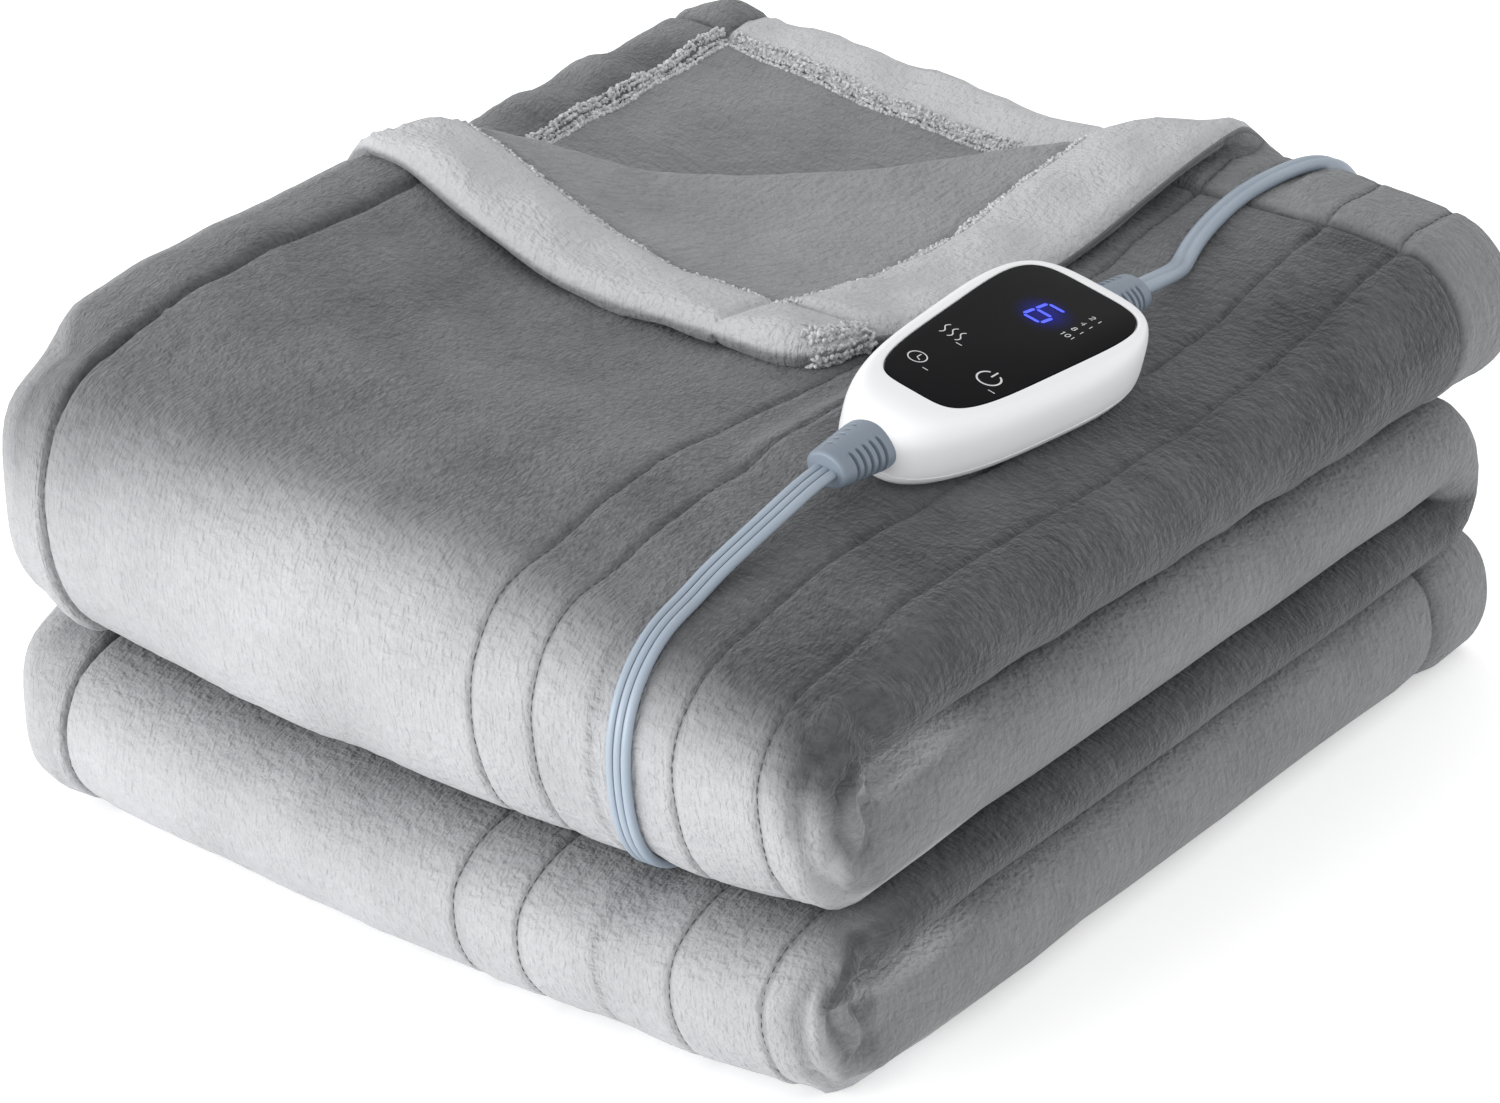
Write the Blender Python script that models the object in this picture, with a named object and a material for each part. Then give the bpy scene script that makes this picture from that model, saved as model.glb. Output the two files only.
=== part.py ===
"""A heated throw blanket of plush cloth, folded into a stack, with its hand controller and cords.

Metres, +Z up. The stack's two rounded front folds face -Y, its long side folds face +X, and it rests on z = 0.
"""

import math

import bmesh
import bpy
import numpy as np
from mathutils import Euler, Matrix, Vector

# ---- the cloth -------------------------------------------------------------------------------------------
PLY = 0.0070  # loft of the double plush
PITCH = 0.0085  # from one ply's middle to the next, in a layer of four
LAYER = 3 * PITCH + PLY  # one layer, 32.5 mm
LAYER_GAP = 0.0020
LAYER_PITCH = LAYER + LAYER_GAP
STACK = 4 * LAYER_PITCH - LAYER_GAP  # four layers, before they settle
HEM = 0.040  # width of the sewn hem
HEM_LOFT = 1.08  # the hem is this much thicker than the rest

# ---- folded across: where the side folds and the hems lie along X ------------------------------------------
LEFT_HEM = -0.187  # the outer ply's hem edge
LEFT_FOLD = -0.172  # centre of the fold hidden at the left
RIGHT_FOLD = 0.142  # centre of the fat fold at the right
INNER_HEM = -0.185  # the second ply's hem edge
OUTER_RADIUS = 1.5 * PITCH
INNER_RADIUS = 0.5 * PITCH

# ---- folded along: where the front and back folds lie along Y ---------------------------------------------
BACK_HEM = 0.205  # the top layer's hem edge
LOWEST_HEM = 0.214  # the lowest layer's
FRONT_FOLD = -0.1540
BACK_FOLD = 0.1760
TURN_RADIUS = 0.5 * LAYER_PITCH

# ---- the turned corner -------------------------------------------------------------------------------------
TURN_ANGLE = math.radians(44.0)  # the line that the corner is turned over, from the X axis
TURN_POINT = (-0.0613, 0.0772)  # a point of that line
ROLL_MIDDLE = 0.0054  # radius of its roll in the middle
ROLL_LEFT = 0.0046  # where the left hem passes through it
ROLL_TIP = 0.0125  # how much cloth the left hem has bunched up by its end
ROLL_BACK = 0.0075  # where the back hem does
ROLL_RETREAT = 0.032  # how far the thick left hem keeps the roll back from the line
ROLL_ADVANCE = 0.004  # how far the back hem lets it run past
FLAP_REST = 0.0088  # height of the flap's middle over the ply that it lies on
FLAP_FALL = 0.070  # the distance in which it settles from the roll to there
CORNER_ROUND = 0.020  # the corner is blunt

# ---- how the stack has settled: real heights in mm of each layer's upper side -------------------------------
HEIGHT_X = (-0.187, -0.145, -0.060, 0.040, 0.112, 0.158)  # columns, left to right
HEIGHT_Y = (-0.155, -0.108, 0.000, 0.080, 0.160, 0.205)  # rows, front to back
LOWEST_TOP = (
    (33, 33, 33, 35, 38, 40),
    (34, 34, 35, 37, 40, 42),
    (36, 36, 37, 39, 42, 43),
    (38, 38, 39, 41, 43, 44),
    (40, 40, 41, 43, 45, 46),
    (40, 40, 41, 43, 45, 46),
)
THIRD_TOP = (
    (64, 62, 58, 57, 58, 61),
    (66, 65, 62, 61, 62, 64),
    (68, 67, 65, 64, 64, 66),
    (70, 69, 67, 66, 66, 67),
    (71, 70, 69, 68, 68, 69),
    (72, 71, 70, 69, 69, 70),
)
SECOND_TOP = (
    (114, 113, 109, 107, 107, 108),
    (116, 115, 111, 109, 108, 108),
    (118, 117, 112, 109, 108, 108),
    (120, 119, 114, 110, 108, 107),
    (122, 121, 117, 112, 109, 106),
    (123, 122, 118, 113, 109, 106),
)
TOP = (
    (155, 157, 149, 142, 137, 132),
    (166, 168, 157, 152, 145, 138),
    (174, 172, 154, 151, 145, 139),
    (187, 180, 158, 153, 149, 146),
    (194, 190, 174, 166, 165, 160),
    (197, 192, 181, 172, 168, 161),
)
END_ROUNDING = 0.022  # how far the rolls' left ends draw in at their front
SHOULDER = 0.004  # how far the top's left edge drops
FRONT_BOW = 0.008  # how far the front folds bow out in the middle
BACK_SWELL = 0.005  # how far the top layer's right fold swells out towards the back
FURROW_DEPTH = 0.005  # the upright furrow beside the near corner
FURROW_Y = -0.162

# ---- the controller, in its own frame: +Y towards its back, +Z up, on z = 0 ---------------------------------
HOUSING_FRONT = -0.0580
HOUSING_BACK = 0.0650
HOUSING_BACK_WIDTH = 0.0680
HOUSING_FRONT_WIDTH = 0.0440
HOUSING_HEIGHT = 0.0235
SHOULDER_HEIGHT = 0.0120  # where its sides start to round over
PANEL_FRONT = -0.0385
PANEL_BACK = 0.0564
PANEL_FRONT_WIDTH = 0.0352
PANEL_BACK_WIDTH = 0.0516
PANEL_THICK = 0.0010
PANEL_RIM = 0.0012  # flat land around the panel
GAP = 0.0003  # between two pieces that meet
CONTROLLER_AT = (0.0902, -0.0154, 0.1529)
CONTROLLER_TURN = (math.radians(1.9), math.radians(13.7), 0.0)
BED_CLEARANCE = 0.0014  # between the controller's base and the cloth that it presses flat
BED_FADE = 0.020

# ---- strain reliefs: moulded sleeves with finger grooves -------------------------------------------------------
SLEEVE_HEIGHT = 0.0115  # of their axis over the controller's base
SLEEVE_ROOT = (0.0096, 0.0074)  # half width and half height
SLEEVE_TIP = (0.0074, 0.0056)
SLEEVE_SEATED = 0.0050  # how much of one is inside the housing
SLEEVE_LENGTH = 0.0205  # how much stands out of it
SLEEVE_GROOVES = 5
GROOVE_DEPTH = 0.0015
GROOVE_PITCH = 0.0030
FIRST_GROOVE = 0.0018  # from the housing's end

# ---- cords: routes in mm, chosen by hand ---------------------------------------------------------------------------
LEAD_DIAMETER = 0.0064
MAINS_DIAMETER = 0.0070
LEAD_ROUTE = (  # from the controller over the front fold and in between the layers
    (92.3, -95.2, 161.4), (92.0, -101.5, 160.9), (90.2, -108.5, 159.0), (88.3, -115.5, 156.2),
    (87.0, -122.5, 152.0), (86.3, -131.0, 149.2), (85.8, -140.0, 147.0), (85.8, -149.0, 144.9),
    (87.0, -158.5, 142.8), (89.2, -167.5, 140.4), (90.8, -176.0, 136.2), (91.9, -183.2, 130.6),
    (93.0, -188.8, 123.2), (94.0, -191.8, 114.5), (94.5, -192.8, 105.5), (94.5, -192.4, 96.5),
    (94.3, -190.6, 88.0), (94.0, -187.8, 80.0), (93.4, -183.6, 72.2), (92.8, -178.2, 65.6),
    (92.2, -172.6, 61.0), (91.8, -168.6, 59.2),
)
MAINS_ROUTE = (  # from the controller over the back edge, down behind and across to the coil
    (93.6, 70.6, 166.8), (93.8, 77.0, 167.0), (93.6, 84.5, 166.7), (92.2, 92.5, 165.9),
    (89.6, 100.5, 164.6), (86.6, 108.5, 163.2), (83.8, 117.0, 162.8), (81.6, 126.0, 163.4),
    (80.4, 135.5, 165.2), (79.6, 145.5, 167.0), (79.4, 156.0, 168.9), (79.8, 167.0, 170.6),
    (81.0, 178.0, 172.4), (82.8, 189.0, 174.0), (84.4, 199.5, 174.8), (85.4, 209.5, 172.6),
    (85.3, 218.5, 166.8), (86.2, 225.6, 158.6), (86.8, 230.4, 147.0), (87.0, 233.6, 128.0),
    (87.0, 234.6, 104.0), (87.0, 235.0, 80.0), (86.6, 235.4, 60.0), (84.8, 236.0, 41.0),
    (79.6, 236.6, 24.0), (70.6, 237.4, 11.6), (59.0, 238.2, 5.2), (46.0, 239.0, 3.7),
    (32.0, 239.8, 3.6), (17.0, 240.2, 3.6), (2.0, 240.3, 3.8), (-13.0, 240.2, 5.0),
)
TAIL_ROUTE = (  # from the coil to the plug
    (-86.7, 297.1, 12.6), (-87.8, 304.0, 12.0), (-90.6, 311.0, 10.9), (-96.0, 317.4, 9.6),
    (-103.4, 322.2, 8.5), (-112.0, 324.9, 7.9), (-120.0, 325.8, 7.7),
)
COIL_AT = (-0.0350, 0.2880)
COIL_RADIUS = 0.0420  # at the middle of its turns
COIL_BAND = 0.0146  # across its turns, three side by side
COIL_LOW = 0.0016
COIL_HIGH = 0.0186
TIE_ANGLE = math.radians(60.0)
TIE_WIDTH = 0.0080
TIE_THICK = 0.0010
TIE_SLACK = 0.0009  # beside the turns, which curve inside it
PLUG_AT = (-0.1205, 0.3259, 0.0077)  # its rear end
PLUG_TURN = math.radians(84.0)
PLUG_SECTIONS = (  # mm from its rear, width, height
    (0.0, 8.6, 8.0), (2.0, 9.6, 9.0), (11.0, 11.6, 10.6), (14.0, 16.0, 12.4), (19.0, 22.0, 14.4),
    (27.0, 25.0, 15.2), (38.0, 25.0, 15.2), (41.0, 24.0, 14.4), (42.0, 22.0, 12.6),
)
BLADE_SPACING = 0.0127
BLADE_SIZE = (0.0015, 0.0170, 0.0063)

# ---- the frame -------------------------------------------------------------------------------------------------------
ORIGIN = (-0.0120, 0.0113, 0.0)  # middle of the stack's footprint, moved to the origin


# ---- small tools ------------------------------------------------------------------------------------------
def clear_scene():
    for obj in list(bpy.data.objects):
        bpy.data.objects.remove(obj, do_unlink=True)


def material(name, colour, roughness, metallic=0.0):
    made = bpy.data.materials.new(name)
    made.use_nodes = True
    shader = made.node_tree.nodes["Principled BSDF"]
    shader.inputs["Base Color"].default_value = (*colour, 1.0)
    shader.inputs["Roughness"].default_value = roughness
    shader.inputs["Metallic"].default_value = metallic
    return made


def smoothstep(low, high, value):
    """0 below low, 1 above high and a soft rise between them."""
    share = np.clip((value - low) / (high - low), 0.0, 1.0)
    return share * share * (3.0 - 2.0 * share)


def through(knots, values, at):
    """A smooth line through values at knots, read at each of the places at; a value may be an array."""
    at = np.clip(at, knots[0], knots[-1])
    last = len(knots) - 1
    slopes = []
    for i in range(last + 1):
        before, after = max(i - 1, 0), min(i + 1, last)
        slopes.append((values[after] - values[before]) / (knots[after] - knots[before]))
    result = np.zeros_like(at)
    for i in range(last):
        width = knots[i + 1] - knots[i]
        s = (at - knots[i]) / width
        piece = (
            (2 * s**3 - 3 * s**2 + 1) * values[i]
            + (s**3 - 2 * s**2 + s) * width * slopes[i]
            + (3 * s**2 - 2 * s**3) * values[i + 1]
            + (s**3 - s**2) * width * slopes[i + 1]
        )
        result = np.where((at >= knots[i]) & (at <= knots[i + 1]), piece, result)
    return result


def spread(start, end, step):
    """Evenly spaced places from start to end, at most step apart, with both ends."""
    count = max(1, math.ceil(abs(end - start) / step))
    return [start + (end - start) * i / count for i in range(count + 1)]


def closed_object(name, mesh, finish, smooth=True):
    """An object from a closed bmesh, with its faces turned outward."""
    if mesh.calc_volume(signed=True) < 0.0:
        bmesh.ops.reverse_faces(mesh, faces=mesh.faces)
    data = bpy.data.meshes.new(name)
    mesh.to_mesh(data)
    mesh.free()
    if finish:
        data.materials.append(finish)
    if smooth:
        data.shade_smooth()
    solid = bpy.data.objects.new(name, data)
    bpy.context.scene.collection.objects.link(solid)
    return solid


# ---- the cloth, folded across: a long flat section in (x, n), n up from the layer's middle ------------------
def section_points(straight_step, fold_steps):
    """The cloth's middle line from the outer hem to the inner one, as rows of x, n, normal x, normal n."""
    rows = []
    lines = (
        (LEFT_HEM, RIGHT_FOLD, 1.5 * PITCH, 1),
        (RIGHT_FOLD, LEFT_FOLD, -1.5 * PITCH, -1),
        (LEFT_FOLD, RIGHT_FOLD, -0.5 * PITCH, 1),
        (RIGHT_FOLD, INNER_HEM, 0.5 * PITCH, -1),
    )
    folds = (
        (RIGHT_FOLD, 0.0, OUTER_RADIUS, 90, -90, 1, fold_steps),
        (LEFT_FOLD, -PITCH, INNER_RADIUS, -90, -270, 1, 4),
        (RIGHT_FOLD, 0.0, INNER_RADIUS, -90, 90, -1, 4),
    )
    for i, (start, end, n, up) in enumerate(lines):
        places = spread(start, end, straight_step)
        if i == 0:
            places = [start, start + 0.0025, start + HEM] + spread(start + HEM, end, straight_step)[1:]
        if i == 3:
            places = spread(start, end + HEM, straight_step) + [end + 0.0025, end]
        rows += [(x, n, 0.0, float(up)) for x in places]
        if i < len(folds):
            x, centre, radius, first, last, outward, steps = folds[i]
            for k in range(1, steps):
                angle = math.radians(first + (last - first) * k / steps)
                across, up = math.cos(angle), math.sin(angle)
                rows.append(
                    (x + radius * across, centre + radius * up, outward * across, outward * up)
                )
    return np.array(rows)


def edge_taper(distance):
    """The cloth's thickness near an edge, as a share of its loft: edges are rounded over."""
    share = np.clip(1.0 - distance / (0.5 * PLY), 0.0, 1.0)
    return np.maximum(np.sqrt(1.0 - share * share), 0.35)


def length_along(rows):
    steps = np.hypot(np.diff(rows[:, 0]), np.diff(rows[:, 1]))
    return np.concatenate([[0.0], np.cumsum(steps)])


def straight_cloth(straight_step, fold_steps, rings):
    """The cloth folded across only, as a bmesh in (x, distance along from the back hem, n)."""
    rows = section_points(straight_step, fold_steps)
    along_section = length_along(rows)
    from_hem = np.minimum(along_section, along_section[-1] - along_section)
    hem = 1.0 + (HEM_LOFT - 1.0) * (1.0 - smoothstep(HEM - 0.004, HEM, from_hem))
    mesh = bmesh.new()
    grid = []
    for v in rings:
        edge = min(v, rings[-1] - v)
        half = 0.5 * PLY * hem * edge_taper(from_hem) * edge_taper(edge)
        outer = rows[:, :2] + rows[:, 2:] * half[:, None]
        inner = rows[:, :2] - rows[:, 2:] * half[:, None]
        loop = np.concatenate([outer, inner[::-1]])
        grid.append([mesh.verts.new((x, v, n)) for x, n in loop])
    around = len(grid[0])
    for near, far in zip(grid, grid[1:]):
        for i in range(around):
            j = (i + 1) % around
            mesh.faces.new((near[i], far[i], far[j], near[j]))
    count = len(rows)
    for ring, flip in ((grid[0], False), (grid[-1], True)):
        for i in range(count - 1):
            cap = (ring[i], ring[i + 1], ring[around - 2 - i], ring[around - 1 - i])
            mesh.faces.new(cap if not flip else cap[::-1])
    bmesh.ops.recalc_face_normals(mesh, faces=mesh.faces)
    return mesh


# ---- the turned corner, in (x, v, n) -------------------------------------------------------------------------
TOWARDS_CORNER = (-math.sin(TURN_ANGLE), math.cos(TURN_ANGLE))  # across the line, in (x, y)


def beyond_line(x, v):
    """How far a point lies past the line that the corner is turned over, towards the corner."""
    across, along = TOWARDS_CORNER
    return (x - TURN_POINT[0]) * across + (BACK_HEM - v - TURN_POINT[1]) * along


def roll_radius(x, v):
    """The roll is tight in its middle and fatter where the back hem passes through it."""
    near_left = 1.0 - smoothstep(0.0, 0.075, x - LEFT_HEM)
    near_back = 1.0 - smoothstep(0.0, 0.075, v)
    at_left = ROLL_LEFT + (ROLL_TIP - ROLL_LEFT) * (1.0 - smoothstep(0.050, 0.170, v))
    return ROLL_MIDDLE + (at_left - ROLL_MIDDLE) * near_left + (ROLL_BACK - ROLL_MIDDLE) * near_back


def blunt(x, v):
    """Draws the cloth's sharp corner in to a round one."""
    a = np.clip(1.0 - (x - LEFT_HEM) / CORNER_ROUND, 0.0, 1.2)
    b = np.clip(1.0 - v / CORNER_ROUND, 0.0, 1.2)
    both = (a > 0.0) & (b > 0.0)
    share = np.where(both, np.maximum(a, b) / np.maximum(np.hypot(a, b), 1e-9), 1.0)
    new_x = np.where(both, LEFT_HEM + CORNER_ROUND * (1.0 - a * share), x)
    return new_x, np.where(both, CORNER_ROUND * (1.0 - b * share), v)


def turn_corner(points):
    x, v, n = points.T
    x, v = blunt(x, v)
    past = beyond_line(x, v)
    retreat = ROLL_RETREAT * (1.0 - smoothstep(0.0, 0.090, x - LEFT_HEM))
    retreat = retreat - ROLL_ADVANCE * (1.0 - smoothstep(0.0, 0.075, v))
    past = past - retreat * (1.0 - smoothstep(0.0, 0.130, past))
    middle = 1.5 * PITCH
    moves = (n > PITCH) & (past > 0.0) & (x < RIGHT_FOLD)
    radius = np.minimum(roll_radius(x, v), ROLL_TIP)
    offset = n - middle
    rolled = past < math.pi * radius
    angle = np.where(rolled, past / radius, math.pi)
    flat_run = np.where(rolled, 0.0, past - math.pi * radius)
    reach = (radius - offset) * np.sin(angle) - flat_run
    fall = smoothstep(0.0, FLAP_FALL, flat_run) * (2.0 * radius - FLAP_REST)
    height = middle + radius - (radius - offset) * np.cos(angle) - fall
    across, along = TOWARDS_CORNER
    turned = np.stack([x + (reach - past) * across, v - (reach - past) * along, height], axis=1)
    return np.where(moves[:, None], turned, points)


def cut_corner_lines(mesh):
    """Edges along the roll, so that it bends smoothly."""
    roll = math.pi * ROLL_TIP
    places = [roll * k / 7 for k in range(8)] + [roll + 0.030]
    for past in places:
        corner = [
            face for face in mesh.faces
            if all(v.co.z > PITCH and v.co.x < 0.10 and v.co.y < 0.34 for v in face.verts)
        ]
        parts = set(corner)
        for face in corner:
            parts.update(face.edges)
            parts.update(face.verts)
        across, along = TOWARDS_CORNER
        bmesh.ops.bisect_plane(
            mesh,
            geom=list(parts),
            dist=1e-6,
            plane_co=(
                TURN_POINT[0] + past * across,
                BACK_HEM - TURN_POINT[1] - past * along,
                0.0,
            ),
            plane_no=(across, -along, 0.0),
        )


# ---- folded along: (x, v, n) to the stack before it settles -----------------------------------------------
def along_lengths():
    long_run = BACK_HEM - FRONT_FOLD
    short_run = BACK_FOLD - FRONT_FOLD
    turn = math.pi * TURN_RADIUS
    return (long_run, turn, short_run, turn, short_run, turn, LOWEST_HEM - FRONT_FOLD)


def fold_along(points):
    """Lays the cloth back and forth in four layers, the top one first."""
    x, v, n = points.T
    top = STACK - 0.5 * LAYER
    y = np.zeros_like(v)
    z = np.zeros_like(v)
    start = 0.0
    for i, length in enumerate(along_lengths()):
        inside = (v >= start - 1e-6) & (v <= start + length + 1e-6)
        run = v - start
        level = top - LAYER_PITCH * (i // 2)
        forward = (i // 2) % 2 == 0  # on its way to the front
        if i % 2 == 0:
            if i == 0:
                at = BACK_HEM - run
            elif forward:
                at = BACK_FOLD - run
            else:
                at = FRONT_FOLD + run
            piece_y, piece_z = at, level + np.where(forward, n, -n)
        else:
            angle = run / TURN_RADIUS
            radius = TURN_RADIUS + (n if forward else -n)
            side = -1.0 if forward else 1.0
            centre = FRONT_FOLD if forward else BACK_FOLD
            piece_y = centre + side * radius * np.sin(angle)
            piece_z = level - TURN_RADIUS + radius * np.cos(angle)
        y = np.where(inside, piece_y, y)
        z = np.where(inside, piece_z, z)
        start += length
    return np.stack([x, y, z], axis=1)


# ---- how it has settled ---------------------------------------------------------------------------------------
def layer_top(table, x, y):
    rows = [through(HEIGHT_X, columns, x) for columns in table]
    return 0.001 * through(HEIGHT_Y, rows, y)


def controller_bed(x, y, height):
    """The top's height with the flat bed that the controller has pressed into it."""
    across, along = x - CONTROLLER_AT[0], y - CONTROLLER_AT[1]
    base = CONTROLLER_AT[2] - BED_CLEARANCE - across * math.tan(CONTROLLER_TURN[1])
    base = base + along * math.tan(CONTROLLER_TURN[0])
    outside = np.hypot(
        np.maximum(np.abs(across) - 0.026, 0.0), np.maximum(np.abs(along) - 0.056, 0.0)
    )
    return height + (1.0 - smoothstep(0.0, BED_FADE, outside)) * (base - height)


def settle(points):
    """Squeezes and swells the layers to their real heights and rounds the stack's ends."""
    x, y, z = points.T
    flat = [0.0] + [LAYER_PITCH * k - 0.5 * LAYER_GAP for k in (1, 2, 3)] + [STACK]
    real = [np.zeros_like(z)] + [layer_top(table, x, y) for table in (LOWEST_TOP, THIRD_TOP, SECOND_TOP, TOP)]
    real[4] = controller_bed(x, y, real[4])
    height = real[4] + (z - STACK)
    for k in range(3, -1, -1):
        share = (z - flat[k]) / (flat[k + 1] - flat[k])
        height = np.where(z <= flat[k + 1], real[k] + share * (real[k + 1] - real[k]), height)
    left = 1.0 - smoothstep(LEFT_HEM - 0.004, -0.135, x)
    roll = 2 * LAYER_PITCH
    in_roll = np.where(z > STACK, 1.0, np.clip(np.abs((z % roll) / roll - 0.5) * 2.0, 0.0, 1.0))
    front = 1.0 - smoothstep(-0.170, -0.135, y)
    in_nose = np.clip((FRONT_FOLD - y) / TURN_RADIUS, 0.0, 2.0) * 0.5
    moved_x = x + END_ROUNDING * left * (front * in_roll**4 + in_nose**2)
    height = height - SHOULDER * left**2 * smoothstep(0.5 * STACK, STACK, z)
    bow = smoothstep(0.0, FRONT_FOLD, y) * FRONT_BOW * (0.5 - np.clip((x + 0.01) / 0.165, -1.2, 1.2) ** 2)
    in_top = np.sin(np.clip((z - 3 * LAYER_PITCH) / LAYER, 0.0, 1.0) * math.pi)
    moved_x = moved_x + BACK_SWELL * smoothstep(0.0, 0.150, y) * smoothstep(0.100, 0.150, x) * in_top
    furrow = np.exp(-(((y - FURROW_Y) / 0.006) ** 2)) * smoothstep(0.140, 0.152, x)
    return np.stack([moved_x - FURROW_DEPTH * furrow, y - bow, np.maximum(height, 0.0)], axis=1)


def blanket_rings():
    """Where the cloth's cross-sections stand, along its length."""
    rings = []
    start = 0.0
    for i, length in enumerate(along_lengths()):
        if i % 2 == 0:
            step = 0.036 if i == 0 else 0.080
            first = start if i else start + HEM
            last = start + length - (HEM if i == 6 else 0.0)
            places = spread(first, last, step)
            if i == 0:
                places = [0.0, 0.0025, 0.024] + places
            if i == 6:
                places = places + [start + length - 0.0025, start + length]
        else:
            places = spread(start, start + length, length / 7)
        rings += places if not rings else places[1:]
        start += length
    return rings


def make_blanket(finish):
    mesh = straight_cloth(0.046, 6, blanket_rings())
    cut_corner_lines(mesh)
    bmesh.ops.triangulate(mesh, faces=mesh.faces)
    mesh.verts.ensure_lookup_table()
    points = np.array([v.co[:] for v in mesh.verts])
    points = settle(fold_along(turn_corner(points)))
    for vert, place in zip(mesh.verts, points):
        vert.co = place
    return closed_object("blanket", mesh, finish)


# ---- solids from rings ------------------------------------------------------------------------------------------
def ring_solid(name, rings, finish, smooth=True):
    """One closed body through rings of the same count, capped at both ends."""
    mesh = bmesh.new()
    grid = [[mesh.verts.new(place) for place in ring] for ring in rings]
    count = len(rings[0])
    for near, far in zip(grid, grid[1:]):
        for i in range(count):
            mesh.faces.new((near[i], near[(i + 1) % count], far[(i + 1) % count], far[i]))
    mesh.faces.new(grid[0][::-1])
    mesh.faces.new(grid[-1])
    return closed_object(name, mesh, finish, smooth)


def cut_away(solid, cutter):
    cutter.hide_render = True
    cutter.display_type = "WIRE"
    cut = solid.modifiers.new("cut " + cutter.name, "BOOLEAN")
    cut.operation = "DIFFERENCE"
    cut.solver = "EXACT"
    cut.object = cutter


# ---- the controller -----------------------------------------------------------------------------------------------
def tapered_outline(front, back, front_width, back_width, power, count=60):
    """A rounded outline that widens from front to back, as x, y points."""
    points = []
    for i in range(count):
        angle = 2.0 * math.pi * (i + 0.5) / count
        across, along = math.cos(angle), math.sin(angle)
        y = 0.5 * (front + back) + 0.5 * (back - front) * math.copysign(abs(along) ** (2.0 / power), along)
        width = front_width + (back_width - front_width) * (y - front) / (back - front)
        points.append((0.5 * width * math.copysign(abs(across) ** (2.0 / power), across), y))
    return points


def housing_outline(inset):
    return tapered_outline(
        HOUSING_FRONT + inset,
        HOUSING_BACK - inset,
        HOUSING_FRONT_WIDTH - 2 * inset,
        HOUSING_BACK_WIDTH - 2 * inset,
        3.0,
    )


def panel_outline(grown):
    return tapered_outline(
        PANEL_FRONT - grown,
        PANEL_BACK + grown,
        PANEL_FRONT_WIDTH + 2 * grown,
        PANEL_BACK_WIDTH + 2 * grown,
        4.6,
    )


def at_height(outline, z):
    return [(x, y, z) for x, y in outline]


def make_housing(finish):
    base = ((0.0058, 0.0), (0.0030, 0.0008), (0.0012, 0.0025), (0.0003, 0.0050), (0.0, 0.0080))
    rings = [at_height(housing_outline(inset), z) for inset, z in base]
    side, rim = housing_outline(0.0), panel_outline(PANEL_RIM)
    steps = 9
    for k in range(steps + 1):
        angle = 0.5 * math.pi * k / steps
        inward = 1.0 - math.cos(angle) ** (2.0 / 2.7)
        up = math.sin(angle) ** (2.0 / 2.7)
        z = SHOULDER_HEIGHT + (HOUSING_HEIGHT - SHOULDER_HEIGHT) * up
        rings.append(
            [(a + (c - a) * inward, b + (d - b) * inward, z) for (a, b), (c, d) in zip(side, rim)]
        )
    housing = ring_solid("controller_housing", rings, finish)
    recess = panel_outline(GAP)
    floor = HOUSING_HEIGHT - PANEL_THICK - GAP
    cut_away(
        housing,
        ring_solid("recess_cutter", [at_height(recess, floor), at_height(recess, floor + 0.010)], None),
    )
    for end, out, name in ((HOUSING_FRONT, -1, "front_socket_cutter"), (HOUSING_BACK, 1, "back_socket_cutter")):
        rings = [
            sleeve_ring(end - out * (SLEEVE_SEATED + GAP), SLEEVE_ROOT, GAP, 0.0),
            sleeve_ring(end + out * 0.010, SLEEVE_ROOT, GAP, 0.0),
        ]
        cut_away(housing, ring_solid(name, rings, None))
    return housing


def make_panel(finish):
    outline = panel_outline(0.0)
    low = HOUSING_HEIGHT - PANEL_THICK
    rings = [at_height(outline, low), at_height(outline, HOUSING_HEIGHT)]
    return ring_solid("touch_panel", rings, finish, smooth=False)


def sleeve_ring(y, half_size, grown, groove, count=24):
    """An upright ellipse; groove is how deep it is cut, all round but for a spine above and below."""
    ring = []
    for i in range(count):
        angle = 2.0 * math.pi * (i + 0.5) / count
        spine = abs(math.sin(angle)) > math.sin(math.radians(66.0))
        depth = 0.0 if spine else groove
        across, up = half_size[0] + grown - depth, half_size[1] + grown - depth
        ring.append((across * math.cos(angle), y, SLEEVE_HEIGHT + up * math.sin(angle)))
    return ring


def make_sleeve(name, end, out, finish):
    """A strain relief that stands out of the housing's end at y = end; out is -1 to the front and 1 to the back."""
    places = [(-SLEEVE_SEATED, 0.0, 0.0), (0.0010, 0.0, 0.0)]
    for k in range(SLEEVE_GROOVES):
        start = FIRST_GROOVE + GROOVE_PITCH * k
        width = 0.45 * GROOVE_PITCH
        places += [
            (start, 0.0, 0.0),
            (start + 0.0002, GROOVE_DEPTH, 0.0),
            (start + width, GROOVE_DEPTH, 0.0),
            (start + width + 0.0002, 0.0, 0.0),
        ]
    places += [(SLEEVE_LENGTH - 0.0012, 0.0, 0.0), (SLEEVE_LENGTH, 0.0, 0.0012)]
    rings = []
    for reach, groove, less in places:
        share = max(0.0, reach) / SLEEVE_LENGTH
        size = [
            root + (tip - root) * share - less for root, tip in zip(SLEEVE_ROOT, SLEEVE_TIP)
        ]
        rings.append(sleeve_ring(end + out * reach, size, 0.0, groove))
    return ring_solid(name, rings, finish)


def place_controller(pieces):
    placed = Matrix.Translation(CONTROLLER_AT) @ Euler(CONTROLLER_TURN, "XYZ").to_matrix().to_4x4()
    for piece in pieces:
        piece.matrix_world = placed


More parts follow.
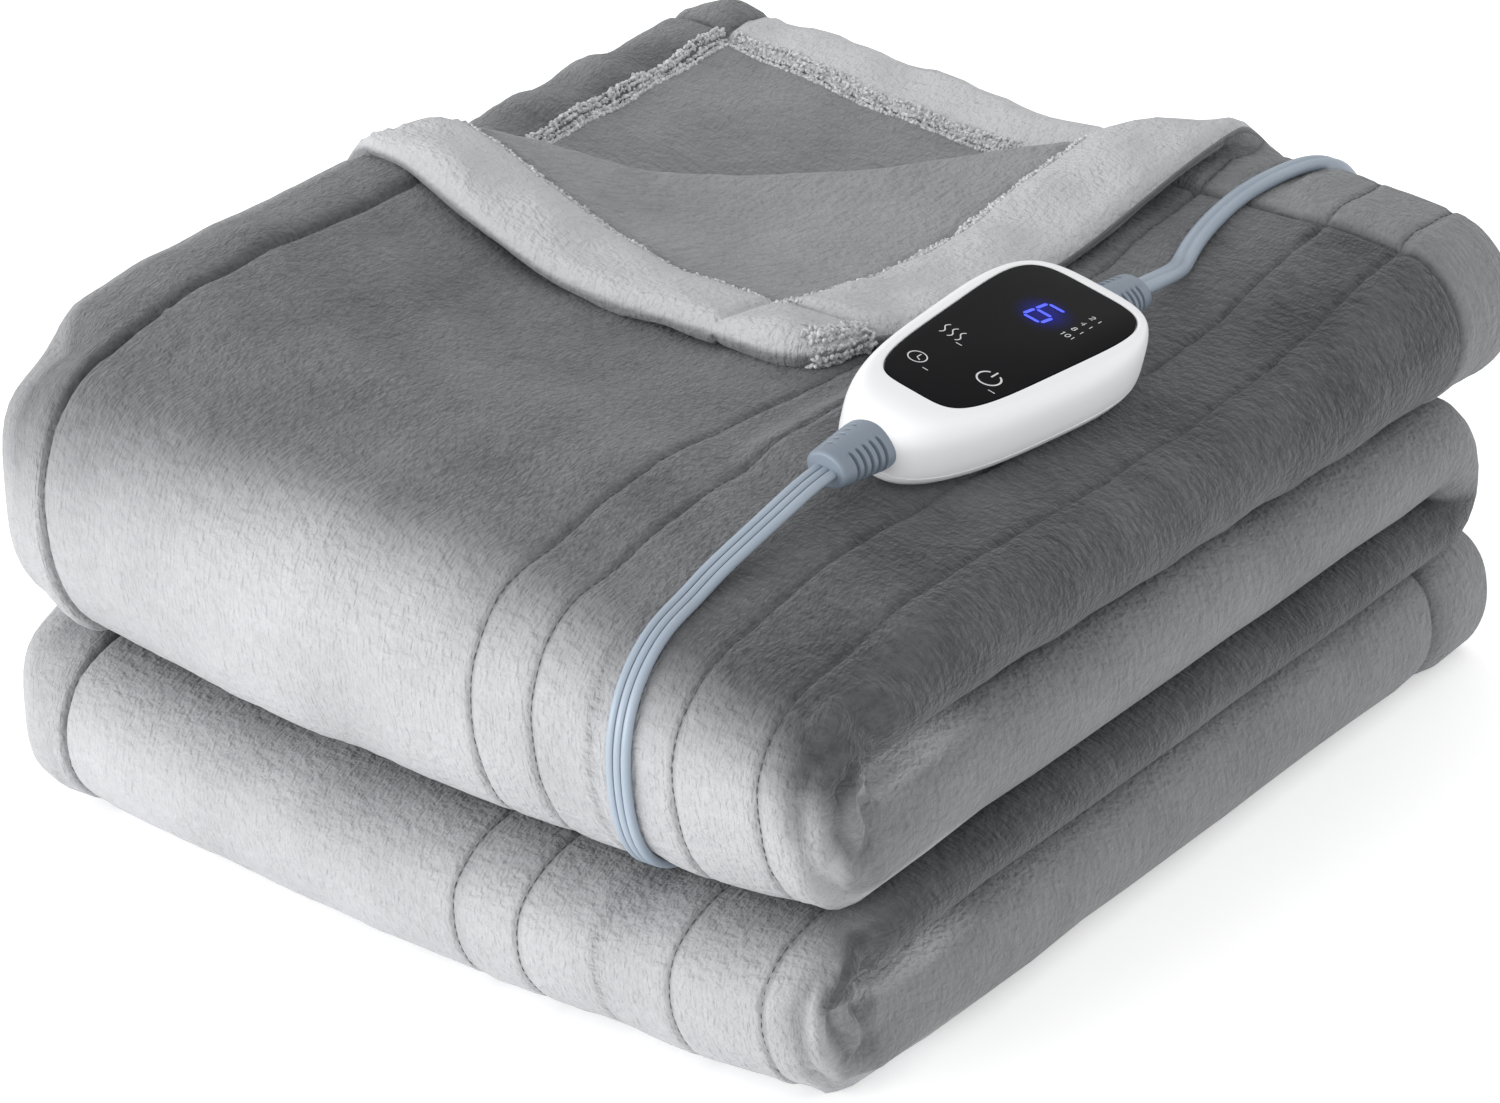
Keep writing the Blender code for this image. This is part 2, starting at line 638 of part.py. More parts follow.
# ---- cords ------------------------------------------------------------------------------------------------------------
def smooth_route(route, spacing):
    """Evenly spaced points of the smooth curve through a route's own points, in metres."""
    knots = [Vector(place) * 0.001 for place in route]
    dense = []
    for i in range(len(knots) - 1):
        a, b = knots[i], knots[i + 1]
        before = knots[max(i - 1, 0)]
        after = knots[min(i + 2, len(knots) - 1)]
        leave, arrive = (b - before) * 0.5, (after - a) * 0.5
        for k in range(12):
            t = k / 12
            dense.append(
                a * (2 * t**3 - 3 * t**2 + 1)
                + leave * (t**3 - 2 * t**2 + t)
                + b * (3 * t**2 - 2 * t**3)
                + arrive * (t**3 - t**2)
            )
    dense.append(knots[-1])
    reached = [0.0]
    for a, b in zip(dense, dense[1:]):
        reached.append(reached[-1] + (b - a).length)
    count = round(reached[-1] / spacing)
    places, j = [], 0
    for k in range(count + 1):
        wanted = reached[-1] * k / count
        while j < len(dense) - 2 and reached[j + 1] < wanted:
            j += 1
        share = (wanted - reached[j]) / (reached[j + 1] - reached[j])
        places.append(dense[j].lerp(dense[j + 1], share))
    return places


def make_cord(name, route, diameter, finish):
    data = bpy.data.curves.new(name, "CURVE")
    data.dimensions = "3D"
    data.bevel_depth = 0.5 * diameter
    data.bevel_resolution = 2
    data.use_fill_caps = True
    places = smooth_route(route, 2.2 * diameter)
    spline = data.splines.new("POLY")
    spline.points.add(len(places) - 1)
    for point, place in zip(spline.points, places):
        point.co = (*place, 1.0)
    data.materials.append(finish)
    cord = bpy.data.objects.new(name, data)
    bpy.context.scene.collection.objects.link(cord)
    return cord


def rounded_section(low, high, inner, outer, corner):
    """Corners of an upright section, as (radius, z), anticlockwise."""
    places = []
    for x, z, first in (
        (outer - corner, low + corner, -90),
        (outer - corner, high - corner, 0),
        (inner + corner, high - corner, 90),
        (inner + corner, low + corner, 180),
    ):
        for k in range(4):
            angle = math.radians(first + 30 * k)
            places.append((x + corner * math.cos(angle), z + corner * math.sin(angle)))
    return places


def make_coil(finish):
    """The outer shape of the wound part of the mains cord: a turned ring."""
    section = rounded_section(
        COIL_LOW, COIL_HIGH, COIL_RADIUS - 0.5 * COIL_BAND, COIL_RADIUS + 0.5 * COIL_BAND, 0.0030
    )
    mesh = bmesh.new()
    count = 36
    rings = []
    for i in range(count):
        angle = 2.0 * math.pi * i / count
        rings.append(
            [
                mesh.verts.new(
                    (COIL_AT[0] + radius * math.cos(angle), COIL_AT[1] + radius * math.sin(angle), z)
                )
                for radius, z in section
            ]
        )
    for i in range(count):
        near, far = rings[i], rings[(i + 1) % count]
        for j in range(len(section)):
            k = (j + 1) % len(section)
            mesh.faces.new((near[j], near[k], far[k], far[j]))
    return closed_object("mains_coil", mesh, finish)


def make_tie(finish):
    """A flat band closed round the coil's turns."""
    half = 0.5 * COIL_BAND + TIE_SLACK
    corner = 0.0033
    inside = rounded_section(
        COIL_LOW - GAP, COIL_HIGH + GAP, COIL_RADIUS - half, COIL_RADIUS + half, corner
    )
    outside = rounded_section(
        COIL_LOW - GAP - TIE_THICK,
        COIL_HIGH + GAP + TIE_THICK,
        COIL_RADIUS - half - TIE_THICK,
        COIL_RADIUS + half + TIE_THICK,
        corner + TIE_THICK,
    )
    outward = Vector((math.cos(TIE_ANGLE), math.sin(TIE_ANGLE), 0.0))
    sideways = Vector((-outward.y, outward.x, 0.0))
    centre = Vector((*COIL_AT, 0.0))
    mesh = bmesh.new()
    loops = []
    for section, side in ((inside, -1), (outside, -1), (outside, 1), (inside, 1)):
        loops.append(
            [
                mesh.verts.new(
                    centre + outward * radius + sideways * (side * 0.5 * TIE_WIDTH) + Vector((0, 0, z))
                )
                for radius, z in section
            ]
        )
    for near, far in zip(loops, loops[1:] + loops[:1]):
        for j in range(len(inside)):
            k = (j + 1) % len(inside)
            mesh.faces.new((near[j], near[k], far[k], far[j]))
    return closed_object("cord_tie", mesh, finish, smooth=False)


# ---- the plug, along its own +Y ---------------------------------------------------------------------------------------
def make_plug(rubber, metal):
    rings = []
    for along, width, height in PLUG_SECTIONS:
        ring = []
        for i in range(24):
            angle = 2.0 * math.pi * (i + 0.5) / 24
            across, up = math.cos(angle), math.sin(angle)
            ring.append(
                (
                    0.0005 * width * math.copysign(abs(across) ** 0.75, across),
                    0.001 * along,
                    0.0005 * height * math.copysign(abs(up) ** 0.75, up),
                )
            )
        rings.append(ring)
    pieces = [ring_solid("plug_body", rings, rubber)]
    width, length, height = BLADE_SIZE
    face = 0.001 * PLUG_SECTIONS[-1][0] + GAP
    for side, name in ((-1, "plug_blade_left"), (1, "plug_blade_right")):
        rings = []
        for out, less in ((0.0, 0.0), (length - 0.0016, 0.0), (length, 0.0005)):
            across, up = 0.5 * width - 0.6 * less, 0.5 * height - 2.0 * less
            middle = side * 0.5 * BLADE_SPACING
            rings.append(
                [
                    (middle + x * across, face + out, z * up)
                    for x, z in ((-1, -1), (1, -1), (1, 1), (-1, 1))
                ]
            )
        pieces.append(ring_solid(name, rings, metal, smooth=False))
    placed = Matrix.Translation(PLUG_AT) @ Matrix.Rotation(PLUG_TURN, 4, "Z")
    for piece in pieces:
        piece.matrix_world = placed


def main():
    clear_scene()
    plush = material("plush_grey", (0.235, 0.240, 0.250), 0.95)
    white = material("white_plastic", (0.86, 0.86, 0.87), 0.28)
    black = material("black_panel", (0.018, 0.018, 0.019), 0.20)
    blue_grey = material("blue_grey_vinyl", (0.330, 0.385, 0.440), 0.45)
    metal = material("bright_metal", (0.72, 0.70, 0.66), 0.25, 1.0)
    make_blanket(plush)
    housing = make_housing(white)
    controller = [housing, make_panel(black)]
    controller += [
        make_sleeve("lead_strain_relief", HOUSING_FRONT, -1, blue_grey),
        make_sleeve("mains_strain_relief", HOUSING_BACK, 1, blue_grey),
    ]
    place_controller(controller + [modifier.object for modifier in housing.modifiers])
    make_cord("blanket_lead", LEAD_ROUTE, LEAD_DIAMETER, blue_grey)
    make_cord("mains_cord", MAINS_ROUTE, MAINS_DIAMETER, blue_grey)
    make_cord("mains_tail", TAIL_ROUTE, MAINS_DIAMETER, blue_grey)
    make_coil(blue_grey)
    make_tie(black)
    make_plug(blue_grey, metal)
    for obj in bpy.data.objects:
        obj.matrix_world = Matrix.Translation(ORIGIN).inverted() @ obj.matrix_world


main()
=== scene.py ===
# %% [markdown]
# # A folded heated throw with its hand controller
#
# The object is a thick plush throw, folded to a stack of sixteen plies, with one corner turned back. A white hand
# controller lies on it, a flat cord runs from it into the folds, and the mains cord runs over the back to a coil.
# Every step below makes one piece or one finish. Lengths are metres, and Z is up.

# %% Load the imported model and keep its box
import math

import bmesh
import bpy
import numpy as np
from mathutils import Euler, Matrix, Vector


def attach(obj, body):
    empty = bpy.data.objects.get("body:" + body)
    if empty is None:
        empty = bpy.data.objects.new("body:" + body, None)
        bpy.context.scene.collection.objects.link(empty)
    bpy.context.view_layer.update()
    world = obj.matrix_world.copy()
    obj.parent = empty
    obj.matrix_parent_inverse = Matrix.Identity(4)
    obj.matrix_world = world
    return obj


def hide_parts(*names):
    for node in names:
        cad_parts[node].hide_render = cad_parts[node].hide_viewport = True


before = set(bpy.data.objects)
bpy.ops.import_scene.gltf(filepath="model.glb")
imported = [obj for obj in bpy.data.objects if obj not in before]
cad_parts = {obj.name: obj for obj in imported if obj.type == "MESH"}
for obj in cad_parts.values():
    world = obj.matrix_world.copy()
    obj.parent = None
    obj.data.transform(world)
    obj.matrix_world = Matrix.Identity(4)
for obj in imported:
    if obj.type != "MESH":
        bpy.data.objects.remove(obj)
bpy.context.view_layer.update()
print("CAD nodes:", sorted(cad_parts))

# %% [markdown]
# ## The camera
#
# The photograph looks down on the near right corner with a long lens, so parallel edges stay almost parallel. The
# camera is found once from the stack's corners and is then fixed. Its tilt is measured from straight down.

# %% Place the camera
CAMERA_AT = (0.71389, -0.92866, 0.62159)
CAMERA_TILT, CAMERA_TURN = math.radians(64.6), math.radians(37.75)
SENSOR_WIDTH, LENS_LENGTH, FARTHEST = 36.0, 92.4, 50.0  # mm, mm and metres

camera = bpy.data.objects.new("studio_camera", bpy.data.cameras.new("studio_camera"))
camera.data.sensor_width = SENSOR_WIDTH
camera.data.lens = LENS_LENGTH
camera.data.clip_end = FARTHEST
camera.location = CAMERA_AT
camera.rotation_euler = (CAMERA_TILT, 0.0, CAMERA_TURN)
bpy.context.scene.collection.objects.link(camera)
bpy.context.scene.camera = camera
print("camera", tuple(camera.location), "lens", camera.data.lens)

# %% [markdown]
# ## The cloth's measures
#
# The throw is two plush faces sewn back to back, 7 mm thick. It is folded across into four plies, like a letter,
# and then back and forth along its length into four layers. These are the same values as in the solid model, because
# the fine cloth has to lie in the same place.

# %% Values of the folded cloth
PLY = 0.0070  # loft of the double plush
PITCH = 0.0085  # from one ply's middle to the next
LAYER = 3 * PITCH + PLY
LAYER_GAP = 0.0020
LAYER_PITCH = LAYER + LAYER_GAP
STACK = 4 * LAYER_PITCH - LAYER_GAP
HEM, REVERSE_HEM = 0.040, 0.031  # on the outside, and on the reverse that the turned corner shows
CORNER_ROUND = 0.020  # the turned corner is blunt
LEFT_HEM, LEFT_FOLD, RIGHT_FOLD, INNER_HEM = -0.187, -0.172, 0.142, -0.185
OUTER_RADIUS, INNER_RADIUS = 1.5 * PITCH, 0.5 * PITCH
BACK_HEM, LOWEST_HEM, FRONT_FOLD, BACK_FOLD = 0.205, 0.214, -0.1540, 0.1760
TURN_RADIUS = 0.5 * LAYER_PITCH
TURN_ANGLE = math.radians(44.0)  # the line that the corner is turned over
TURN_POINT = (-0.0613, 0.0772)
ROLL_MIDDLE, ROLL_LEFT, ROLL_TIP, ROLL_BACK = 0.0054, 0.0046, 0.0125, 0.0075
ROLL_RETREAT, ROLL_ADVANCE = 0.032, 0.004
RETREAT_FADE, HEM_REACH, TIP_REACH = 0.090, 0.075, (0.050, 0.170)  # how far the thick hems act on the roll
RETREAT_END = 0.130
TIGHTEST_BEND = 0.0004
FLAP_REST, FLAP_FALL = 0.0088, 0.070
ORIGIN = np.array((-0.0120, 0.0113, 0.0))  # middle of the stack's footprint

# %% Real heights of the settled layers, in mm, in columns from left to right and rows from front to back
HEIGHT_X = (-0.187, -0.145, -0.060, 0.040, 0.112, 0.158)
HEIGHT_Y = (-0.155, -0.108, 0.000, 0.080, 0.160, 0.205)
LOWEST_TOP = (
    (33, 33, 33, 35, 38, 40), (34, 34, 35, 37, 40, 42), (36, 36, 37, 39, 42, 43),
    (38, 38, 39, 41, 43, 44), (40, 40, 41, 43, 45, 46), (40, 40, 41, 43, 45, 46),
)
THIRD_TOP = (
    (64, 62, 58, 57, 58, 61), (66, 65, 62, 61, 62, 64), (68, 67, 65, 64, 64, 66),
    (70, 69, 67, 66, 66, 67), (71, 70, 69, 68, 68, 69), (72, 71, 70, 69, 69, 70),
)
SECOND_TOP = (
    (114, 113, 109, 107, 107, 108), (116, 115, 111, 109, 108, 108), (118, 117, 112, 109, 108, 108),
    (120, 119, 114, 110, 108, 107), (122, 121, 117, 112, 109, 106), (123, 122, 118, 113, 109, 106),
)
TOP = (
    (155, 157, 149, 142, 137, 132), (166, 168, 157, 152, 145, 138), (174, 172, 154, 151, 145, 139),
    (187, 180, 158, 153, 149, 146), (194, 190, 174, 166, 165, 160), (197, 192, 181, 172, 168, 161),
)
END_ROUNDING, SHOULDER, FRONT_BOW, BACK_SWELL = 0.022, 0.004, 0.008, 0.005
LEFT_END, FRONT_END = (LEFT_HEM - 0.004, -0.135), (-0.170, -0.135)  # where the rounding of each end fades
BOW_MIDDLE, BOW_HALF, BOW_LIMIT = -0.01, 0.165, 1.2
SWELL_ALONG, SWELL_ACROSS = (0.0, 0.150), (0.100, 0.150)
FURROW_DEPTH, FURROW_WIDTH, FURROW_Y, FURROW_ACROSS = 0.005, 0.006, -0.162, (0.140, 0.152)

# %% Values of the controller, which presses a flat bed into the cloth
CONTROLLER_AT = (0.0902, -0.0154, 0.1529)
CONTROLLER_TURN = (math.radians(1.9), math.radians(13.7), 0.0)
BED_HALF = (0.026, 0.056)
BED_CLEARANCE, BED_FADE, SKIN_BED_FADE = 0.0014, 0.020, 0.012

# %% [markdown]
# ## Folding flat cloth by formula
#
# A place on the cloth is written as x across the stack, v along the cloth from the back hem, and n through a layer's
# thickness. Three steps carry it to its real place: the corner is rolled over, the length is laid back and forth, and
# the stack settles to the heights that the photograph shows. Formulas are chosen here, and not a cloth simulation,
# because this skin has to lie exactly where the solid model's folds lie.

# %% Soft curves between known values
def smoothstep(low, high, value):
    share = np.clip((value - low) / (high - low), 0.0, 1.0)
    return share * share * (3.0 - 2.0 * share)


def through(knots, values, at):
    """A smooth line through values at knots, read at each of the places at; a value may be an array."""
    at = np.clip(at, knots[0], knots[-1])
    last = len(knots) - 1
    slopes = []
    for i in range(last + 1):
        before, after = max(i - 1, 0), min(i + 1, last)
        slopes.append((values[after] - values[before]) / (knots[after] - knots[before]))
    result = np.zeros_like(at)
    for i in range(last):
        width = knots[i + 1] - knots[i]
        s = (at - knots[i]) / width
        piece = (
            (2 * s**3 - 3 * s**2 + 1) * values[i]
            + (s**3 - 2 * s**2 + s) * width * slopes[i]
            + (3 * s**2 - 2 * s**3) * values[i + 1]
            + (s**3 - s**2) * width * slopes[i + 1]
        )
        result = np.where((at >= knots[i]) & (at <= knots[i + 1]), piece, result)
    return result


# %% Roll the corner over
ACROSS, ALONG = -math.sin(TURN_ANGLE), math.cos(TURN_ANGLE)


def past_line(x, v):
    """How far a place is beyond the line of the turned corner; the thick hems hold the roll back."""
    past = (x - TURN_POINT[0]) * ACROSS + (BACK_HEM - v - TURN_POINT[1]) * ALONG
    retreat = ROLL_RETREAT * (1.0 - smoothstep(0.0, RETREAT_FADE, x - LEFT_HEM))
    retreat = retreat - ROLL_ADVANCE * (1.0 - smoothstep(0.0, HEM_REACH, v))
    return past - retreat * (1.0 - smoothstep(0.0, RETREAT_END, past))


def blunt(x, v):
    """Draws the cloth's sharp corner in to a round one."""
    a = np.clip(1.0 - (x - LEFT_HEM) / CORNER_ROUND, 0.0, 1.2)
    b = np.clip(1.0 - v / CORNER_ROUND, 0.0, 1.2)
    both = (a > 0.0) & (b > 0.0)
    share = np.where(both, np.maximum(a, b) / np.maximum(np.hypot(a, b), 1e-9), 1.0)
    new_x = np.where(both, LEFT_HEM + CORNER_ROUND * (1.0 - a * share), x)
    return new_x, np.where(both, CORNER_ROUND * (1.0 - b * share), v)


def turn_corner(points, in_top_ply):
    """Rolls what lies past the line up and over, and lays it back on the top."""
    x, v, n = points.T
    x, v = blunt(x, v)
    past = past_line(x, v)
    moves = in_top_ply & (past > 0.0) & (x < RIGHT_FOLD)
    near_left = 1.0 - smoothstep(0.0, HEM_REACH, x - LEFT_HEM)
    near_back = 1.0 - smoothstep(0.0, HEM_REACH, v)
    at_left = ROLL_LEFT + (ROLL_TIP - ROLL_LEFT) * (1.0 - smoothstep(*TIP_REACH, v))
    radius = ROLL_MIDDLE + (at_left - ROLL_MIDDLE) * near_left + (ROLL_BACK - ROLL_MIDDLE) * near_back
    radius = np.minimum(radius, ROLL_TIP)
    middle = 1.5 * PITCH
    offset = n - middle
    rolled = past < math.pi * radius
    angle = np.where(rolled, past / radius, math.pi)
    flat_run = np.where(rolled, 0.0, past - math.pi * radius)
    bend = np.maximum(radius - offset, TIGHTEST_BEND)
    reach = bend * np.sin(angle) - flat_run
    fall = smoothstep(0.0, FLAP_FALL, flat_run) * (2.0 * radius - FLAP_REST)
    height = middle + radius - np.where(rolled, bend, radius - offset) * np.cos(angle) - fall
    turned = np.stack([x + (reach - past) * ACROSS, v - (reach - past) * ALONG, height], axis=1)
    return np.where(moves[:, None], turned, points)


# %% Lay the length back and forth
LONG_RUN, SHORT_RUN = BACK_HEM - FRONT_FOLD, BACK_FOLD - FRONT_FOLD
TURN = math.pi * TURN_RADIUS
LENGTHS = (LONG_RUN, TURN, SHORT_RUN, TURN, SHORT_RUN, TURN, LOWEST_HEM - FRONT_FOLD)
LAST_RUN = len(LENGTHS) - 1
BEFORE_ALL, PAST_ALL = -1.0, 9.0  # the first and last runs go on past the hems


def fold_along(points):
    """Lays the length back and forth: even runs are flat, and odd ones are the bends between them."""
    x, v, n = points.T
    top = STACK - 0.5 * LAYER
    y, z = np.zeros_like(v), np.zeros_like(v)
    start = 0.0
    for i, length in enumerate(LENGTHS):
        low = start if i else BEFORE_ALL
        high = start + length if i < LAST_RUN else PAST_ALL
        inside = (v >= low - 1e-6) & (v <= high + 1e-6)
        run = v - start
        level = top - LAYER_PITCH * (i // 2)
        forward = (i // 2) % 2 == 0
        if i % 2 == 0:
            at = (BACK_HEM if i == 0 else BACK_FOLD) - run if forward else FRONT_FOLD + run
            piece_y, piece_z = at, level + np.where(forward, n, -n)
        else:
            angle = run / TURN_RADIUS
            radius = TURN_RADIUS + (n if forward else -n)
            side = -1.0 if forward else 1.0
            centre = FRONT_FOLD if forward else BACK_FOLD
            piece_y = centre + side * radius * np.sin(angle)
            piece_z = level - TURN_RADIUS + radius * np.cos(angle)
        y, z = np.where(inside, piece_y, y), np.where(inside, piece_z, z)
        start += length
    return np.stack([x, y, z], axis=1)


# %% Let the stack settle
def layer_top(table, x, y):
    """The height of a layer's top, in metres."""
    return 0.001 * through(HEIGHT_Y, [through(HEIGHT_X, columns, x) for columns in table], y)


def in_bed(x, y, fade):
    """1 under the controller and 0 away from it."""
    across, along = x - CONTROLLER_AT[0], y - CONTROLLER_AT[1]
    outside = np.hypot(np.maximum(np.abs(across) - BED_HALF[0], 0.0), np.maximum(np.abs(along) - BED_HALF[1], 0.0))
    return 1.0 - smoothstep(0.0, fade, outside)


def controller_bed(x, y, height):
    """The top, drawn to the controller's sloping underside where that lies on it."""
    base = CONTROLLER_AT[2] - BED_CLEARANCE - (x - CONTROLLER_AT[0]) * math.tan(CONTROLLER_TURN[1])
    base = base + (y - CONTROLLER_AT[1]) * math.tan(CONTROLLER_TURN[0])
    return height + in_bed(x, y, BED_FADE) * (base - height)


def settle(points):
    """Carries the even stack to its real heights, and rounds, bows and swells its ends."""
    x, y, z = points.T
    flat = [0.0] + [LAYER_PITCH * k - 0.5 * LAYER_GAP for k in (1, 2, 3)] + [STACK]
    real = [np.zeros_like(z)] + [layer_top(table, x, y) for table in (LOWEST_TOP, THIRD_TOP, SECOND_TOP, TOP)]
    real[4] = controller_bed(x, y, real[4])
    height = real[4] + (z - STACK)
    for k in range(3, -1, -1):
        share = (z - flat[k]) / (flat[k + 1] - flat[k])
        height = np.where(z <= flat[k + 1], real[k] + share * (real[k + 1] - real[k]), height)
    left = 1.0 - smoothstep(*LEFT_END, x)
    roll = 2 * LAYER_PITCH
    in_roll = np.where(z > STACK, 1.0, np.clip(np.abs((z % roll) / roll - 0.5) * 2.0, 0.0, 1.0))
    front = 1.0 - smoothstep(*FRONT_END, y)
    in_nose = np.clip((FRONT_FOLD - y) / TURN_RADIUS, 0.0, 2.0) * 0.5
    moved_x = x + END_ROUNDING * left * (front * in_roll**4 + in_nose**2)
    height = height - SHOULDER * left**2 * smoothstep(0.5 * STACK, STACK, z)
    from_middle = np.clip((x - BOW_MIDDLE) / BOW_HALF, -BOW_LIMIT, BOW_LIMIT)
    bow = smoothstep(0.0, FRONT_FOLD, y) * FRONT_BOW * (0.5 - from_middle**2)
    in_top = np.sin(np.clip((z - 3 * LAYER_PITCH) / LAYER, 0.0, 1.0) * math.pi)
    moved_x = moved_x + BACK_SWELL * smoothstep(*SWELL_ALONG, y) * smoothstep(*SWELL_ACROSS, x) * in_top
    furrow = np.exp(-(((y - FURROW_Y) / FURROW_WIDTH) ** 2)) * smoothstep(*FURROW_ACROSS, x)
    return np.stack([moved_x - FURROW_DEPTH * furrow, y - bow, np.maximum(height, 0.0)], axis=1)


def folded(points, in_top_ply):
    """Places (x, v, n) on the flat cloth, carried to where they lie in the folded throw."""
    return settle(fold_along(turn_corner(points, in_top_ply))) - ORIGIN


print("cloth length", round(sum(LENGTHS), 3), "m")

# %% [markdown]
# ## Relief of the plush
#
# Real plush isn't smooth: the sewn lines pull a furrow with small puckers, the hems are puffed bands, and the pile
# stands in slow waves. All of this is a small offset along the cloth's own normal, written as a formula of the place
# on the flat cloth, so it follows every fold. Seeded sine waves stand in for the random waves.

# %% Where the sewn lines run, as x at the upper front fold and x at the lower one
SEWN_LINES = ((0.0370, 0.0270), (0.0590, 0.0520), (0.1090, 0.1070), (0.1370, 0.1385))


def sewn_at(line, v):
    """The lines aren't quite straight: each one drifts a little on its way down the throw."""
    return line[0] + (line[1] - line[0]) * smoothstep(0.450, 1.050, v)


random = np.random.default_rng(11)


def make_waves(count, shortest, longest):
    length = random.uniform(shortest, longest, count)
    turn = random.uniform(0.0, 2.0 * math.pi, count)
    return np.stack([np.cos(turn) / length, np.sin(turn) / length, random.uniform(0.0, 1.0, count)], axis=1)


def wave_height(waves, a, b):
    """The sum of the waves at a and b, between about -1 and 1."""
    total = np.zeros_like(a)
    for across, along, phase in waves:
        total = total + np.sin(2.0 * math.pi * (across * a + along * b + phase))
    return total / math.sqrt(len(waves))


BROAD_WAVES = make_waves(12, 0.030, 0.085)
SMALL_WAVES = make_waves(14, 0.008, 0.018)
DENT_WAVES = make_waves(9, 0.022, 0.048)
CRUMPLE_WAVES = make_waves(10, 0.011, 0.026)
NOSES = (LONG_RUN + 0.5 * TURN, LONG_RUN + 2.5 * TURN + 2.0 * SHORT_RUN)  # middles of the two front folds


def furrow_shape(distance, width):
    """1 in the middle of a furrow, falling softly to 0 on both sides."""
    return np.exp(-((distance / width) ** 2))


def corner_open(x, v):
    """1 where the turned corner lets the reverse be seen, 0 where the plies lie on each other."""
    return smoothstep(-0.014, 0.018, past_line(x, v))


def tube(share):
    """The height of a half circle over its own width."""
    return np.sqrt(np.clip(1.0 - (2.0 * share - 1.0) ** 2, 0.0, 1.0))


def hem_puff(from_side, from_end, side_width, end_width):
    """0 to 1: a stuffed tube along each hem, with a pillow of its own at the corner where two hems cross."""
    side, end = tube(from_side / side_width), tube(from_end / end_width)
    side_in, end_in = from_side < side_width, from_end < end_width
    return np.where(side_in & end_in, (side * end) ** 0.8, np.where(side_in, side, np.where(end_in, end, 0.0)))


def in_noses(v, spread):
    """1 where the length bends at either front fold."""
    near = [1.0 - smoothstep(0.0, spread, np.abs(v - middle) - 0.5 * TURN) for middle in NOSES]
    return np.maximum(near[0], near[1])


EAR_FOLDS = ((0.006, 9.0, 0.6), (0.015, 14.0, 1.0), (0.024, 18.0, 0.9))  # place, curve and share of the depth
EAR_CURVE_AT, EAR_MIDDLE, EAR_WIDTH, EAR_REACH = 0.004, 0.002, 0.0022, 0.020


def ear_folds(u, v):
    """0 to 1: small curved folds in the crumpled right ends of the two front folds."""
    round_end, total = u - (RIGHT_FOLD - LEFT_HEM), np.zeros_like(u)
    for middle in NOSES:
        for place, curve, share in EAR_FOLDS:
            fold = furrow_shape(round_end - place - curve * (v - middle - EAR_CURVE_AT) ** 2, EAR_WIDTH)
            total = total + share * fold * furrow_shape(v - middle - EAR_MIDDLE, EAR_REACH)
    return np.clip(total, 0.0, 1.0)


# heights and depths of the relief; a pair is for the top ply and for the plies below it
BROAD_HEIGHT, SMALL_HEIGHT, PUCKER = 0.00042, 0.00012, 0.55
HEM_HEIGHT, REVERSE_HEM_HEIGHT, HEM_WAVE = (0.0022, 0.0015), 0.0031, 0.25
SEAM_DEPTH, SEAM_WIDTH = 0.0015, 0.0014
REVERSE_SEAM_DEPTH, REVERSE_SEAM_WIDTH = (0.0013, 0.0005), 0.0018
SEWN_DEPTH, SEWN_WIDTH = 0.0009, 0.0012
CRUMPLE_HEIGHT, CRUMPLE_FROM, EAR_DEPTH = 0.0016, (0.136, 0.150), 0.0040
DENT_SHARE, DENT_WAVE = (0.42, 0.20), 0.12


def relief(u, x, v, outside, ply):
    """Offset from the plain face at distance u from the outer hem; ply 0 is the top one, 3 the one under it."""
    broad, small = wave_height(BROAD_WAVES, u, v), wave_height(SMALL_WAVES, u, v)
    from_side = np.minimum(u, SECTION_LENGTH - u)
    from_end = np.minimum(v, CLOTH_LENGTH - v)
    seam = np.minimum(np.abs(from_side - HEM), np.abs(from_end - HEM))
    end_width = np.where(ply == 0, HEM, REVERSE_HEM)
    reverse_seam = np.minimum(np.abs(from_side - REVERSE_HEM), np.abs(from_end - end_width))
    puff = hem_puff(from_side, from_end, HEM, HEM)
    pucker = 1.0 + PUCKER * small
    plain = BROAD_HEIGHT * broad + SMALL_HEIGHT * small
    front = plain + np.where(ply == 0, *HEM_HEIGHT) * puff * (1.0 + HEM_WAVE * broad)
    front = front - SEAM_DEPTH * pucker * furrow_shape(seam, SEAM_WIDTH)
    for line in SEWN_LINES:
        away = np.abs(u - (sewn_at(line, v) - LEFT_HEM))
        front = front - np.where(ply == 0, SEWN_DEPTH * pucker * furrow_shape(away, SEWN_WIDTH), 0.0)
    # the ends of the front folds are crumpled
    crumple = smoothstep(*CRUMPLE_FROM, x) * in_noses(v, EAR_REACH)
    front = front + CRUMPLE_HEIGHT * crumple * wave_height(CRUMPLE_WAVES, u, v)
    front = front - EAR_DEPTH * pucker * ear_folds(u, v)
    # the reverse, which is seen on and under the turned corner
    dents = 1.0 + np.where(ply == 0, *DENT_SHARE) * wave_height(DENT_WAVES, u, v) + DENT_WAVE * broad
    back = plain + REVERSE_HEM_HEIGHT * hem_puff(from_side, from_end, REVERSE_HEM, end_width) * dents
    back = back - np.where(ply == 0, *REVERSE_SEAM_DEPTH) * pucker * furrow_shape(reverse_seam, REVERSE_SEAM_WIDTH)
    back = back * np.where((ply == 0) | (ply == 3), corner_open(x, v), 0.0)
    return np.where(outside > 0.5, front, back)


# %% [markdown]
# ## The fine cloth mesh
#
# The folded section is swept along the length as a closed skin, dense where the throw is seen and sparse inside it.
# Each vertex remembers its distance u from the outer hem and the side that it is on, for the pattern and the relief.
# Extra edges are cut along the roll of the turned corner, so that it bends round.

